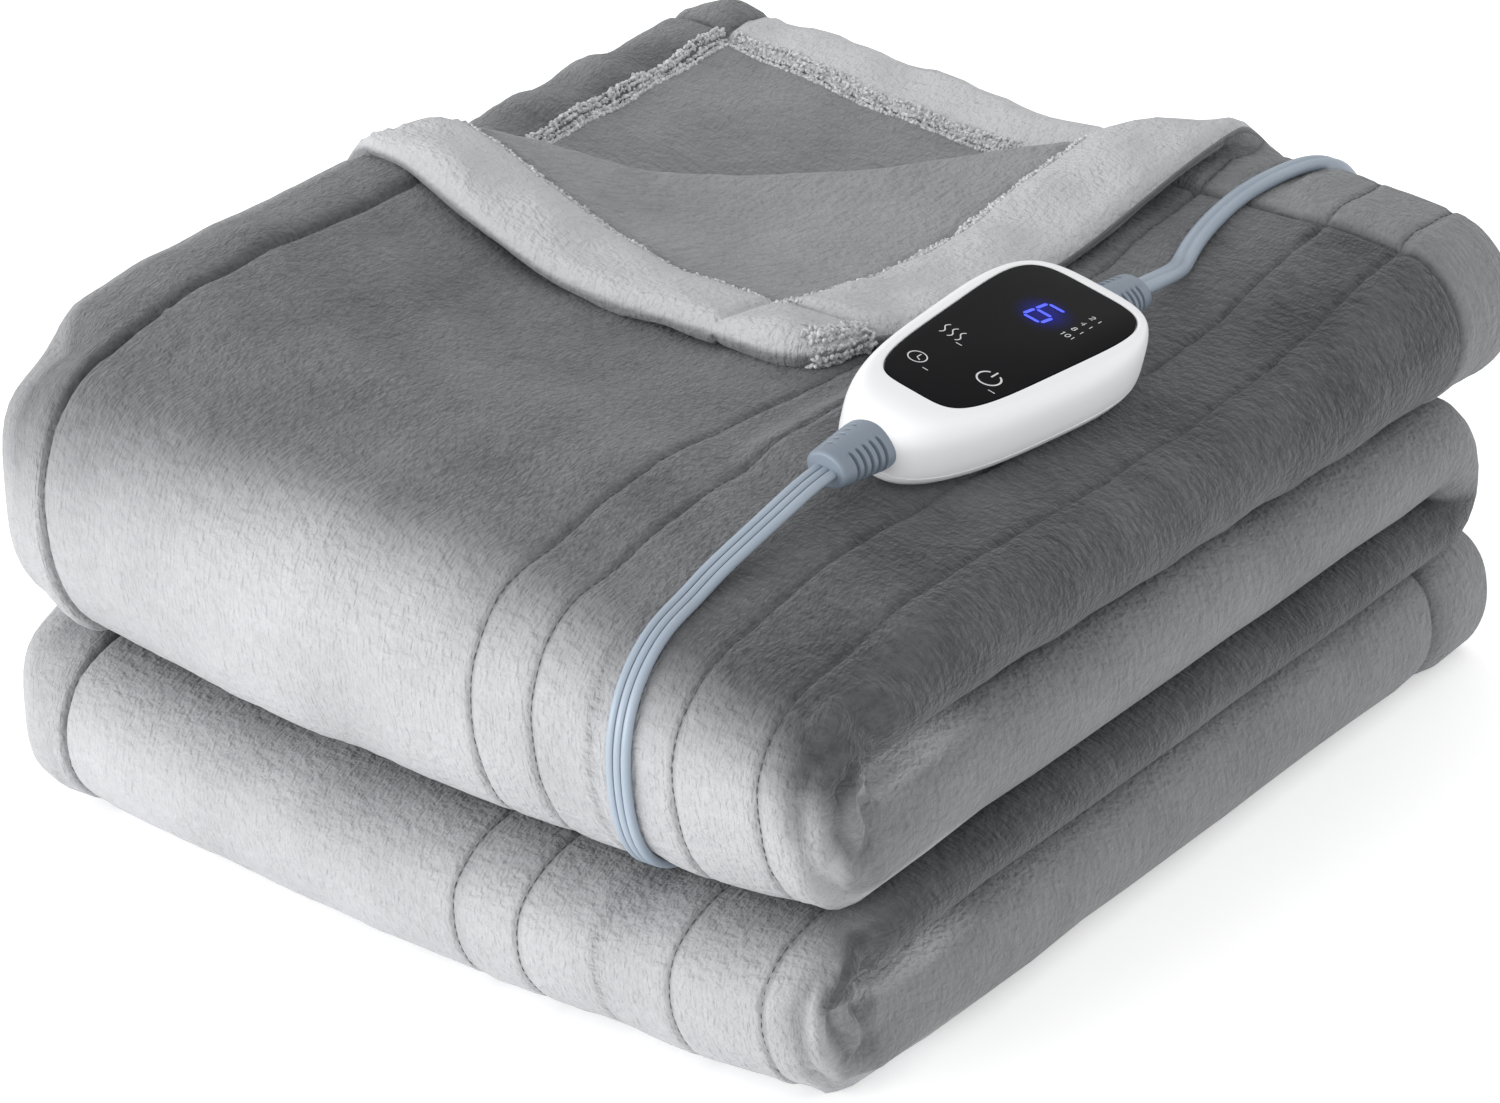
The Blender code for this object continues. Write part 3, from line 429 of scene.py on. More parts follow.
# %% Lay out the section across
HEM_EDGE = (0.0, 0.0012, 0.0035)  # rows close together where the edge is rounded over
SEAM_ROWS = (-0.0040, -0.0021, -0.0010, 0.0, 0.0010, 0.0021, 0.0040)
INNER_SEAM_ROWS = (-0.0040, -0.0020, -0.0009, 0.0, 0.0009, 0.0020, 0.0040)
FINE_STEP, RING_STEP, SIDE_STEP, INNER_STEP = 0.0037, 0.0036, 0.0046, 0.0065  # where the cloth is seen
LOWER_STEP, HIDDEN_INNER_STEP, HIDDEN_STEP = 0.018, 0.016, 0.030  # where it is hidden
NEAREST_ROW = 0.0018


def steps_between(start, end, step):
    count = max(1, math.ceil(abs(end - start) / step))
    return [start + (end - start) * i / count for i in range(count + 1)]


def with_extras(places, extras, nearest):
    """The places with the extra ones put in, leaving out plain ones that come too close to an extra one."""
    kept = [p for p in places if all(abs(p - e) > nearest for e in extras)]
    return sorted(kept + list(extras))


def top_ply_places():
    extras = [LEFT_HEM + d for d in HEM_EDGE]
    for line in (LEFT_HEM + REVERSE_HEM, LEFT_HEM + HEM) + tuple(line[0] for line in SEWN_LINES):
        extras += [line + d for d in SEAM_ROWS]
    extras += [line[1] + d for line in SEWN_LINES[:2] for d in SEAM_ROWS[1:5]]
    extras = sorted(e for e in extras if e < RIGHT_FOLD - 0.0006) + [RIGHT_FOLD]
    coarser_from = 0.080
    plain = steps_between(LEFT_HEM, coarser_from, FINE_STEP)[1:] + steps_between(coarser_from, RIGHT_FOLD, SIDE_STEP)
    return [p for p in with_extras(plain, extras, NEAREST_ROW) if p <= RIGHT_FOLD]


def fold_rows(x, centre, radius, first, last, outward, steps):
    """Rows round a fold, between its two flat plies: x, n, the direction outwards, and -1 for no ply."""
    rows = []
    for k in range(1, steps):
        angle = math.radians(first + (last - first) * k / steps)
        across, up = math.cos(angle), math.sin(angle)
        rows.append((x + radius * across, centre + radius * up, outward * across, outward * up, -1))
    return rows


def section_rows():
    rows = [(x, 1.5 * PITCH, 0.0, 1.0, 0) for x in top_ply_places()]
    rows += fold_rows(RIGHT_FOLD, 0.0, OUTER_RADIUS, 90, -90, 1, 23)
    rows += [(x, -1.5 * PITCH, 0.0, -1.0, 1) for x in steps_between(RIGHT_FOLD, LEFT_FOLD, LOWER_STEP)]
    rows += fold_rows(LEFT_FOLD, -PITCH, INNER_RADIUS, -90, -270, 1, 7)
    rows += [(x, -0.5 * PITCH, 0.0, 1.0, 2) for x in steps_between(LEFT_FOLD, RIGHT_FOLD, HIDDEN_STEP)]
    rows += fold_rows(RIGHT_FOLD, 0.0, INNER_RADIUS, -90, 90, -1, 6)
    extras = [INNER_HEM + d for d in HEM_EDGE] + [INNER_HEM + REVERSE_HEM + d for d in INNER_SEAM_ROWS]
    hidden_from = -0.02
    inner = steps_between(INNER_HEM, hidden_from, INNER_STEP)
    inner += steps_between(hidden_from, RIGHT_FOLD, HIDDEN_INNER_STEP)[1:]
    rows += [(x, 0.5 * PITCH, 0.0, -1.0, 3) for x in with_extras(inner, extras, NEAREST_ROW)[::-1]]
    return np.array(rows)


SECTION = section_rows()
SECTION_U = np.concatenate([[0.0], np.cumsum(np.hypot(np.diff(SECTION[:, 0]), np.diff(SECTION[:, 1])))])
SECTION_LENGTH, CLOTH_LENGTH = float(SECTION_U[-1]), float(sum(LENGTHS))
print(f"section of {len(SECTION)} rows; the flat throw is {SECTION_LENGTH:.3f} by {CLOTH_LENGTH:.3f} m")


# %% Lay out the rings along the length
CORNER_END, FRONT_RINGS, BACK_RINGS, BACK_TURN = 0.262, 20, 12, 3
LAST_SEAM_ROW, NEAREST_LAST_ROW = 0.003, 0.0016


def ring_places():
    hem = list(HEM_EDGE)
    for width in (REVERSE_HEM, HEM):
        hem += [width + d for d in SEAM_ROWS]
    places = with_extras(steps_between(0.0, CORNER_END, RING_STEP), hem, NEAREST_ROW)
    places += steps_between(CORNER_END, LONG_RUN, SIDE_STEP)[1:]
    start = LONG_RUN
    for i, length in enumerate(LENGTHS[1:], 1):
        if i % 2:
            step = length / (FRONT_RINGS if i != BACK_TURN else BACK_RINGS)
        else:
            step = HIDDEN_STEP
        more = steps_between(start, start + length, step)[1:]
        if i == LAST_RUN:
            end = start + length
            hem = [end - HEM - LAST_SEAM_ROW, end - HEM, end - HEM + LAST_SEAM_ROW]
            more = with_extras(more, hem + [end - d for d in HEM_EDGE[::-1]], NEAREST_LAST_ROW)
        places += more
        start += length
    return np.array(places)


RINGS = ring_places()
print(len(RINGS), "rings,", 2 * len(SECTION) * len(RINGS) * 2, "triangles before the corner's extra edges")


# %% Give each place on the cloth its offset from the middle
EDGE_LEAST, HEM_THICKER, HEM_FADE = 0.30, 0.08, 0.004
PRESSED_HALF, PRESSED_END = (0.0048, 0.0110), (0.085, 0.100)  # the hem under the mains cord
MAINS_X = (  # the mains cord on the top: v in metres, and x in mm
    (0.0870, 82.6), (0.0790, 80.2), (0.0700, 78.4), (0.0600, 77.2), (0.0500, 76.6),
    (0.0390, 76.6), (0.0280, 77.6), (0.0170, 79.6), (0.0070, 82.4),
)
POCKET_X, POCKET_WIDTH, POCKET_DEPTH = 0.0892, 0.0058, 0.0038  # the crease that the lead goes into
POCKETS = ((0.396, 0.412, 0.450, 0.470), (1.085, 1.105, 1.138, 1.150))  # above it and below it, along the cloth


def edge_taper(distance):
    """The share of the full thickness near an edge, which is rounded over."""
    share = np.clip(1.0 - distance / (0.5 * PLY), 0.0, 1.0)
    return np.maximum(np.sqrt(1.0 - share * share), EDGE_LEAST)


def half_thickness(u, v):
    """Half of the cloth's thickness, with stuffed hems and rounded edges."""
    from_side, from_end = np.minimum(u, SECTION_LENGTH - u), np.minimum(v, CLOTH_LENGTH - v)
    hem = 1.0 + HEM_THICKER * (1.0 - smoothstep(HEM - HEM_FADE, HEM, from_side))
    return 0.5 * PLY * hem * edge_taper(from_side) * edge_taper(from_end)


def bed_share(x, v):
    """1 where a place of the top ply lies under the controller."""
    return np.where(v < LONG_RUN, in_bed(x, BACK_HEM - v, SKIN_BED_FADE), 0.0)


def under_mains(x, v):
    """1 where the mains cord lies on the top ply and presses its hem flat."""
    places = np.array(MAINS_X[::-1])
    away = np.abs(x - 0.001 * np.interp(v, places[:, 0], places[:, 1]))
    return (1.0 - smoothstep(*PRESSED_HALF, away)) * (1.0 - smoothstep(*PRESSED_END, v))


def between(start, full, fading, end, v):
    """0 outside start and end, and 1 from full to fading."""
    return smoothstep(start, full, v) * (1 - smoothstep(fading, end, v))


def face_offset(u, x, v, outside, ply):
    """Distance of a face from the cloth's middle, with its relief."""
    half = half_thickness(u, v)
    bumps = relief(u, x, v, outside, ply) * np.clip(half / (0.5 * PLY), 0.0, 1.0)
    pressed = np.where((ply == 0) & (outside > 0.5), np.maximum(bed_share(x, v), under_mains(x, v)), 0.0)
    bumps = np.where(bumps > 0.0, bumps * (1.0 - pressed), bumps)
    # the lead has sunk into the crease that it goes into
    pocket = np.exp(-(((x - POCKET_X) / POCKET_WIDTH) ** 2)) * (ply == 0) * (outside > 0.5)
    pocket = pocket * (between(*POCKETS[0], v) + between(*POCKETS[1], v))
    return half + bumps - POCKET_DEPTH * pocket


# %% Sweep the section along the length
def cloth_grid():
    """The skin's places on the flat cloth, their values of u, side and top, and the faces between them."""
    rows, rings = len(SECTION), len(RINGS)
    x0, n0, nx, nn, ply = SECTION.T
    verts, sides, us, vs, tops = [], [], [], [], []
    for outside in (1.0, 0.0):
        u, v = np.meshgrid(SECTION_U, RINGS)
        shape = u.shape
        x, n = np.broadcast_to(x0, shape), np.broadcast_to(n0, shape)
        plies = np.broadcast_to(ply, shape)
        offset = face_offset(u, x, v, np.full(shape, outside), plies)
        sign = 1.0 if outside else -1.0
        verts.append(np.stack([x + sign * offset * nx, v, n + sign * offset * nn], axis=2))
        sides.append(np.full(shape, outside))
        us.append(u)
        vs.append(v)
        tops.append(np.where(plies == 0, 1.0, 0.0))
    outer, inner = verts[0], verts[1][:, ::-1]
    grid = np.concatenate([outer, inner], axis=1).reshape(-1, 3)
    u = np.concatenate([us[0], us[1][:, ::-1]], axis=1).ravel()
    side = np.concatenate([sides[0], sides[1]], axis=1).ravel()
    top = np.concatenate([tops[0], tops[1][:, ::-1]], axis=1).ravel()
    around = 2 * rows
    i, r = np.meshgrid(np.arange(around), np.arange(rings - 1))
    j = (i + 1) % around
    quads = np.stack([r * around + i, (r + 1) * around + i, (r + 1) * around + j, r * around + j], axis=2)
    quads = quads.reshape(-1, 4)
    caps = []
    last = (rings - 1) * around
    for k in range(rows - 1):
        cap = (k, k + 1, around - 2 - k, around - 1 - k)
        caps.append(cap)
        caps.append(tuple(last + c for c in cap[::-1]))
    return grid, u, side, top, quads, caps


ROLL_AREA, ROLL_CUTS = (0.10, 0.34), 12


def cloth_mesh():
    """The flat skin as a mesh, with extra edges cut along the roll of the turned corner."""
    grid, u, side, top, quads, caps = cloth_grid()
    data = bpy.data.meshes.new("blanket_cloth")
    data.from_pydata(grid.tolist(), [], quads.tolist() + caps)
    for name, values in (("u", u), ("side", side), ("top", top)):
        data.attributes.new(name, "FLOAT", "POINT").data.foreach_set("value", values.astype(np.float32))
    mesh = bmesh.new()
    mesh.from_mesh(data)
    data.clear_geometry()
    mark = mesh.verts.layers.float["top"]
    near = [
        face for face in mesh.faces
        if all(p[mark] > 0.5 and p.co.x < ROLL_AREA[0] and p.co.y < ROLL_AREA[1] for p in face.verts)
    ]
    parts = set(near)
    for face in near:
        parts.update(face.edges)
        parts.update(face.verts)
    parts = list(parts)
    roll = math.pi * ROLL_TIP
    for k in range(ROLL_CUTS + 1):
        past = roll * k / ROLL_CUTS
        place = (TURN_POINT[0] + past * ACROSS, BACK_HEM - TURN_POINT[1] - past * ALONG, 0.0)
        cut = bmesh.ops.bisect_plane(mesh, geom=parts, dist=1e-6, plane_co=place, plane_no=(ACROSS, -ALONG, 0.0))
        parts = cut["geom"]
    bmesh.ops.triangulate(mesh, faces=[f for f in mesh.faces if len(f.verts) > 4])
    mesh.to_mesh(data)
    mesh.free()
    return data


def vertex_values(data, name):
    values = np.empty(len(data.vertices), np.float32)
    data.attributes[name].data.foreach_get("value", values)
    return values


# %% Fold the skin
cloth = cloth_mesh()
flat_places = np.empty(len(cloth.vertices) * 3)
cloth.vertices.foreach_get("co", flat_places)
flat_places = flat_places.reshape(-1, 3)
cloth_u, cloth_side, cloth_top = (vertex_values(cloth, name) for name in ("u", "side", "top"))
cloth.vertices.foreach_set("co", folded(flat_places, cloth_top > 0.5).ravel())
cloth.update()
print(len(cloth.vertices), "vertices in the cloth")

# %% [markdown]
# ## Materials from nodes
#
# Each finish is a small node tree on the object's own coordinates, so nothing slides when the camera moves. A few
# helpers keep the trees short: they add a node, set its sockets by name and link them.

# %% Helpers for node trees
def new_material(name, roughness, metallic=0.0):
    """A material with its node tree and its main shader."""
    made = bpy.data.materials.new(name)
    made.use_nodes = True
    shader = made.node_tree.nodes["Principled BSDF"]
    shader.inputs["Roughness"].default_value = roughness
    shader.inputs["Metallic"].default_value = metallic
    return made, made.node_tree, shader


def add_node(tree, kind, values=(), **settings):
    """A node with its settings, and values for its sockets."""
    node = tree.nodes.new(kind)
    for key, value in settings.items():
        setattr(node, key, value)
    for key, value in dict(values).items():
        node.inputs[key].default_value = value
    return node


def mapped(tree, scale=(1, 1, 1), output="Object", rotation=(0, 0, 0)):
    """Object or UV coordinates, turned and scaled."""
    source = add_node(tree, "ShaderNodeTexCoord")
    mapping = add_node(tree, "ShaderNodeMapping", {"Scale": scale, "Rotation": rotation})
    tree.links.new(source.outputs[output], mapping.inputs["Vector"])
    return mapping.outputs["Vector"]


def noise(tree, vector, scale, detail=3.0, roughness=0.5):
    node = add_node(tree, "ShaderNodeTexNoise", {"Scale": scale, "Detail": detail, "Roughness": roughness})
    tree.links.new(vector, node.inputs["Vector"])
    return node.outputs["Fac"]


def spread_range(tree, value, low, high, to_low, to_high):
    """The value, moved from one range to another."""
    limits = {"From Min": low, "From Max": high, "To Min": to_low, "To Max": to_high}
    node = add_node(tree, "ShaderNodeMapRange", limits)
    tree.links.new(value, node.inputs["Value"])
    return node.outputs["Result"]


def calculate(tree, operation, a, b):
    """A sum or the like of two values, each a number or a socket."""
    node = add_node(tree, "ShaderNodeMath", operation=operation)
    for socket, value in zip(node.inputs, (a, b)):
        if isinstance(value, (int, float)):
            socket.default_value = value
        else:
            tree.links.new(value, socket)
    return node.outputs["Value"]


def blend_colours(tree, share, low, high):
    """A colour ramp between two colours."""
    ramp = add_node(tree, "ShaderNodeValToRGB")
    ramp.color_ramp.elements[0].color = (*low, 1.0)
    ramp.color_ramp.elements[1].color = (*high, 1.0)
    tree.links.new(share, ramp.inputs["Fac"])
    return ramp.outputs["Color"]


def bumped(tree, shader, height, distance, strength=1.0):
    bump = add_node(tree, "ShaderNodeBump", {"Strength": strength, "Distance": distance})
    tree.links.new(height, bump.inputs["Height"])
    tree.links.new(bump.outputs["Normal"], shader.inputs["Normal"])


# %% [markdown]
# ## The plush
#
# Short pile looks dark where it is stroked towards the eye and pale where it opens over a fold. That lie of the pile,
# together with painted light and shade, is stored on the mesh as a value called nap_and_shade, and the material turns
# it into a colour, breaks it with soft patches, and adds the fine rows of the pile as a bump along the cloth's own UV
# directions.

# %% The plush material
# the two ends of the plush's colour: dark pile in painted shade, and pale pile in painted light
PLUSH_DARK, PLUSH_PALE = (0.047, 0.048, 0.052), (0.520, 0.528, 0.542)
SHEEN_COLOUR = (0.85, 0.87, 0.90, 1.0)
NOISE_LOW, NOISE_HIGH = 0.3, 0.7  # most of a noise texture's values lie between these
PILE_DEPTH, PILE_STRENGTH = 0.00130, 0.95


def plush_material(name, dark, pale):
    made, tree, shader = new_material(name, 0.92)
    # the stored value: the pile's lie with painted light and shade
    nap_and_shade = add_node(tree, "ShaderNodeAttribute", attribute_name="nap_and_shade").outputs["Fac"]
    patches = noise(tree, mapped(tree), 26.0, 4.0, 0.6)
    flecks = noise(tree, mapped(tree), 260.0, 3.0, 0.6)
    rows = noise(tree, mapped(tree, (900.0, 420.0, 1.0), "UV"), 1.0, 2.0, 0.5)
    ribs = noise(tree, mapped(tree, (95.0, 520.0, 1.0), "UV"), 1.0, 2.0, 0.5)
    share = nap_and_shade
    for pattern, contrast in ((patches, 0.045), (flecks, 0.028), (rows, 0.008), (ribs, 0.022)):
        shift = spread_range(tree, pattern, NOISE_LOW, NOISE_HIGH, -contrast, contrast)
        share = calculate(tree, "ADD", share, shift)
    tree.links.new(blend_colours(tree, share, dark, pale), shader.inputs["Base Color"])
    shader.inputs["Sheen Weight"].default_value = 0.22
    shader.inputs["Sheen Roughness"].default_value = 0.55
    shader.inputs["Sheen Tint"].default_value = SHEEN_COLOUR
    shader.inputs["Specular IOR Level"].default_value = 0.15
    clumps = noise(tree, mapped(tree), 420.0, 3.0, 0.55)
    dimples = noise(tree, mapped(tree), 210.0, 3.0, 0.55)
    height = calculate(tree, "MULTIPLY", rows, 0.65)
    for pattern, part in ((clumps, 0.6), (dimples, 0.9), (ribs, 0.55)):
        height = calculate(tree, "ADD", height, calculate(tree, "MULTIPLY", pattern, part))
    bumped(tree, shader, height, PILE_DEPTH, PILE_STRENGTH)
    return made


plush_finish = plush_material("plush", PLUSH_DARK, PLUSH_PALE)
print("made", plush_finish.name)

# %% [markdown]
# ## The blanket object
#
# The lie of the pile is worked out for every vertex from its place on the flat cloth and its side, from what the
# photograph shows, and painted light and shade go in with it: the top is painted dark, as stroked pile and as shade,
# the front folds are painted pale, as opened pile and as light falling on them, the right side is painted in shaded
# bands, the sewn furrows, seams and ear folds are painted darker as shade, and the hems are paler than the cloth
# beside them.

# %% The shades of the pile with its painted light and shade, 0 for dark and 1 for pale
NAP_SCALE = 0.855  # trims every shade to the photograph's
# painted shade on the top, partly the pile's lie, which grows darker towards the right
TOP_NAP_AND_SHADE, RIGHT_PAINTED_SHADE, RIGHT_FROM = 0.185, 0.150, (0.070, 0.130)
# painted shade on the right side, band by band, partly the pile's lie
SIDE_NAP_AND_SHADES, SIDE_FROM, SIDE_CHANGE = (0.075, 0.340, 0.080, 0.370), (0.138, 0.150), 0.004
SIDE_HEM_SHADE, RIM_PALER, RIM, END_HEM_SHADE = 0.16, 0.30, (0.004, 0.011), 0.36
# painted light on the front folds, partly the opened pile
FRONT_NAP_AND_LIGHT, FRONT_LEFT, LEFT_PART, UPPER_END = 0.84, (-0.10, 0.05), (-0.130, -0.060), 0.9
TURNED_SHADE, TURNED_HEM_SHADE, UNDER_SHADE, UNDER_END_SHADE, UNDER_SIDE_SHADE = 0.48, 1.01, 0.39, 1.14, 0.25
# painted shade in the sewn furrows, the hem seams and the ear folds
SEAM_EDGE, SEWN_PAINTED_SHADE, SEWN_SHADE_WIDTH, SEAM_SHADE_WIDTH, EAR_PAINTED_SHADE = 0.0015, 0.55, 0.0010, 0.0012, 0.72
BORDER_LATE, BORDER_MIDDLE, BORDER_FLAT, BORDER_BOW = 0.0015, -0.02, 0.01, (0.07, 0.09)
BORDER_LIFT, BORDER_LIFT_FROM = 0.010, (0.130, 0.155)
# the lower fold's ramp leaves painted shade just under the crease above it
UPPER_RAMP, LOWER_RAMP, FOLD_FADE, FRONT_RIGHT = (0.006, 0.018), (0.008, 0.026), (0.055, 0.080), (0.1525, 0.1560)


# %% Nap with painted light and shade, and the UV map
def opened_and_lit(start, ramp, nose, v):
    """1 from a fold's upper border to where it turns under."""
    turned_under = smoothstep(nose + FOLD_FADE[0], nose + FOLD_FADE[1], v)
    return smoothstep(start - ramp[0], start + ramp[1], v) * (1.0 - turned_under)


def front_nap_and_light(x, v):
    """1 where a front fold is painted pale, as opened pile and as painted light. The line bows back at both ends of the
    fold.
    """
    from_middle = np.maximum(np.abs(x - BORDER_MIDDLE) - BORDER_FLAT, 0.0)
    bowed = np.where(x > BORDER_MIDDLE, *BORDER_BOW) * from_middle
    border = LONG_RUN + BORDER_LATE + bowed + BORDER_LIFT * smoothstep(*BORDER_LIFT_FROM, x)
    upper = opened_and_lit(border, UPPER_RAMP, NOSES[0], v)
    lower = opened_and_lit(NOSES[1] - 0.5 * TURN, LOWER_RAMP, NOSES[1], v)
    return np.maximum(upper, lower) * (1.0 - smoothstep(*FRONT_RIGHT, x))


def side_nap_and_shade(v):
    """The right side, layer by layer from the top: dark where the pile points down, paler where it points up, and
    painted shade in every band.
    """
    shade = np.full_like(v, SIDE_NAP_AND_SHADES[0])
    start = LONG_RUN + 0.5 * TURN
    for value in SIDE_NAP_AND_SHADES[1:]:
        shade = shade + (value - shade) * smoothstep(start - SIDE_CHANGE, start + SIDE_CHANGE, v)
        start += SHORT_RUN + TURN
    return shade


def in_hem(distance, width):
    """1 in a hem of this width and 0 past its seam."""
    return 1.0 - smoothstep(width - SEAM_EDGE, width + SEAM_EDGE, distance)


def outside_nap_and_shade(u, v, x, top, from_side, from_end, broad):
    side_hem, end_hem = in_hem(from_side, HEM), in_hem(from_end, HEM)
    hem = np.maximum(side_hem, end_hem)
    # painted shade: the top is dark, and darker towards the right
    outer = TOP_NAP_AND_SHADE + 0.015 * broad - RIGHT_PAINTED_SHADE * smoothstep(*RIGHT_FROM, x)
    # the right side's bands with painted shade
    outer = outer + (side_nap_and_shade(v) - outer) * smoothstep(*SIDE_FROM, x)
    rim = 1.0 - smoothstep(*RIM, from_side)
    outer = outer + (SIDE_HEM_SHADE + RIM_PALER * rim - outer) * side_hem
    outer = outer + (END_HEM_SHADE - outer) * end_hem
    far_left = 1.0 - smoothstep(*LEFT_PART, x)
    # painted light: the front folds are pale, partly as opened pile
    pale = FRONT_NAP_AND_LIGHT - 0.02 * hem + 0.03 * broad
    pale = pale + np.where(v < UPPER_END, *FRONT_LEFT) * far_left * (1.0 - side_hem)
    outer = outer + (pale - outer) * front_nap_and_light(x, v)
    # painted shade in the sewn furrows, the hem seams and the ear folds
    sewn = np.zeros_like(u)
    for line in SEWN_LINES:
        sewn = np.maximum(sewn, furrow_shape(u - (sewn_at(line, v) - LEFT_HEM), SEWN_SHADE_WIDTH))
    seam = furrow_shape(np.minimum(np.abs(from_side - HEM), np.abs(from_end - HEM)), SEAM_SHADE_WIDTH)
    return outer * (1.0 - SEWN_PAINTED_SHADE * np.maximum(sewn * (top > 0.5), seam)) * (1.0 - EAR_PAINTED_SHADE * ear_folds(u, v))


def inside_nap(top, from_side, from_end, broad):
    """The reverse of the turned corner, and the ply that it uncovers."""
    side_band, end_band = in_hem(from_side, REVERSE_HEM), in_hem(from_end, REVERSE_HEM)
    turned = TURNED_SHADE + (TURNED_HEM_SHADE - TURNED_SHADE) * np.maximum(side_band, in_hem(from_end, HEM))
    under = UNDER_SHADE + 0.02 * broad
    under = under + (UNDER_END_SHADE - under) * end_band
    under = under + (UNDER_SIDE_SHADE + 0.07 * broad - under) * side_band
    return np.where(top > 0.5, turned, under)


def nap_and_shade_values(u, v, side, top, x):
    """The shade of every place on the flat cloth: the pile's lie with painted light and shade."""
    broad = wave_height(BROAD_WAVES, u, v)
    from_side, from_end = np.minimum(u, SECTION_LENGTH - u), np.minimum(v, CLOTH_LENGTH - v)
    outer = outside_nap_and_shade(u, v, x, top, from_side, from_end, broad)
    nap_and_shade = np.where(side > 0.5, outer, inside_nap(top, from_side, from_end, broad))
    return np.clip(NAP_SCALE * nap_and_shade, 0.0, 1.0)


def finish_cloth(data):
    """Stores the nap with its painted light and shade, and the UV map, and gives the cloth its material."""
    v = flat_places[:, 1]
    nap_and_shade = nap_and_shade_values(cloth_u, v, cloth_side, cloth_top, flat_places[:, 0])
    data.attributes.new("nap_and_shade", "FLOAT", "POINT").data.foreach_set("value", nap_and_shade.astype(np.float32))
    index = np.empty(len(data.loops), np.int32)
    data.loops.foreach_get("vertex_index", index)
    across = np.where(cloth_side[index] > 0.5, cloth_u[index], -cloth_u[index])
    uv = np.stack([across, v[index]], axis=1)
    layer = data.uv_layers.new(name="cloth")
    layer.data.foreach_set("uv", uv.ravel().astype(np.float32))
    data.materials.append(plush_finish)
    data.shade_smooth()


finish_cloth(cloth)
blanket = bpy.data.objects.new("blanket_cloth", cloth)
bpy.context.scene.collection.objects.link(blanket)
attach(blanket, "root")
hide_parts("blanket")
blanket.data.calc_loop_triangles()
print("blanket:", len(blanket.data.loop_triangles), "triangles")

# %% [markdown]
# ## Points on the cloth
#
# The cords, stitches and tufts all lie on the cloth. One function gives a point on its face and the direction away
# from it, by stepping a little along x and v and taking the cross product.

# %% Find a place on the cloth and its normal
def cloth_face(x, v, side=1.0, ply=0.0, lift=0.0, plain=False):
    """Points on a face of the top ply (ply 0) or the one under it (ply 3), with unit normals away from it.

    Where plain is true, the relief is left out.
    """
    x, v = np.broadcast_arrays(np.asarray(x, float), np.asarray(v, float))
    middle, up = (1.5 * PITCH, 1.0) if ply == 0.0 else (0.5 * PITCH, -1.0)
    sign = up if side > 0.5 else -up

    def at(px, pv, more=0.0):
        u = px - LEFT_HEM if ply == 0.0 else SECTION_LENGTH - (px - INNER_HEM)
        if plain:
            offset = np.full(px.shape, 0.5 * PLY) + more
        else:
            offset = face_offset(u, px, pv, np.full(px.shape, side), np.full(px.shape, ply)) + more
        return folded(np.stack([px, pv, middle + sign * offset], axis=1), np.full(px.shape, ply == 0.0))

    here = at(x, v)
    d = 0.0004  # a small step to either side
    normal = np.cross(at(x + d, v) - at(x - d, v), at(x, v + d) - at(x, v - d))
    normal /= np.linalg.norm(normal, axis=1)[:, None]
    outward = at(x, v, 0.0005) - here
    normal *= np.sign((normal * outward).sum(1))[:, None]
    return here + normal * lift, normal


# %% [markdown]
# ## The two cords
#
# Both cords are flat: the lead has three cores side by side, and the mains cord two. A flat section is swept along
# a smooth line, turned so that its wide face lies on what carries it. Where the cord is wound it stands on edge, as a
# flat cord does when it is coiled by hand.

# %% Smooth a line of points and facing directions
FACING_LENGTH, STEPS_PER_KNOT = 0.01, 16


def smooth_route(points, facings, spacing, window):
    """Evenly spaced points along a smooth line; window is how many times they are averaged, away from both ends."""
    both = np.concatenate([np.asarray(points, float), np.asarray(facings, float) * FACING_LENGTH], axis=1)
    first, last = 2 * both[:1] - both[1:2], 2 * both[-1:] - both[-2:-1]
    knots = np.concatenate([first, both, last])
    dense = []
    for i in range(1, len(knots) - 2):
        a, b = knots[i], knots[i + 1]
        leave, arrive = (b - knots[i - 1]) * 0.5, (knots[i + 2] - a) * 0.5
        for t in np.arange(0, 1, 1 / STEPS_PER_KNOT):
            dense.append(
                a * (2 * t**3 - 3 * t**2 + 1) + leave * (t**3 - 2 * t**2 + t)
                + b * (3 * t**2 - 2 * t**3) + arrive * (t**3 - t**2)
            )
    dense = np.array(dense + [knots[-2]])
    reached = np.concatenate([[0.0], np.cumsum(np.linalg.norm(np.diff(dense[:, :3], axis=0), axis=1))])
    wanted = np.linspace(0.0, reached[-1], max(2, round(reached[-1] / spacing)) + 1)
    even = np.stack([np.interp(wanted, reached, dense[:, k]) for k in range(6)], axis=1)
    for _ in range(window):
        even[2:-2] = 0.25 * even[1:-3] + 0.5 * even[2:-2] + 0.25 * even[3:-1]
    length = float(np.linalg.norm(np.diff(even[:, :3], axis=0), axis=1).sum())
    return even[:, :3], even[:, 3:] / np.linalg.norm(even[:, 3:], axis=1)[:, None], length


def flat_outline(cores, radius, apart, groove, around):
    """Half of a many-cored flat section, as (across, up), mirrored to close it."""
    upper = []
    for i in range(cores):
        middle = (i - (cores - 1) / 2) * apart
        start = 180 if i == 0 else 180 - groove
        end = 0 if i == cores - 1 else groove
        for k in range(around + 1):
            angle = math.radians(start + (end - start) * k / around)
            upper.append((middle + radius * math.cos(angle), radius * math.sin(angle)))
    return upper + [(a, -b) for a, b in upper[::-1][1:-1]]


def tangents_of(points):
    """Unit directions along a line of points."""
    tangents = np.gradient(points, axis=0)
    return tangents / np.linalg.norm(tangents, axis=1)[:, None]


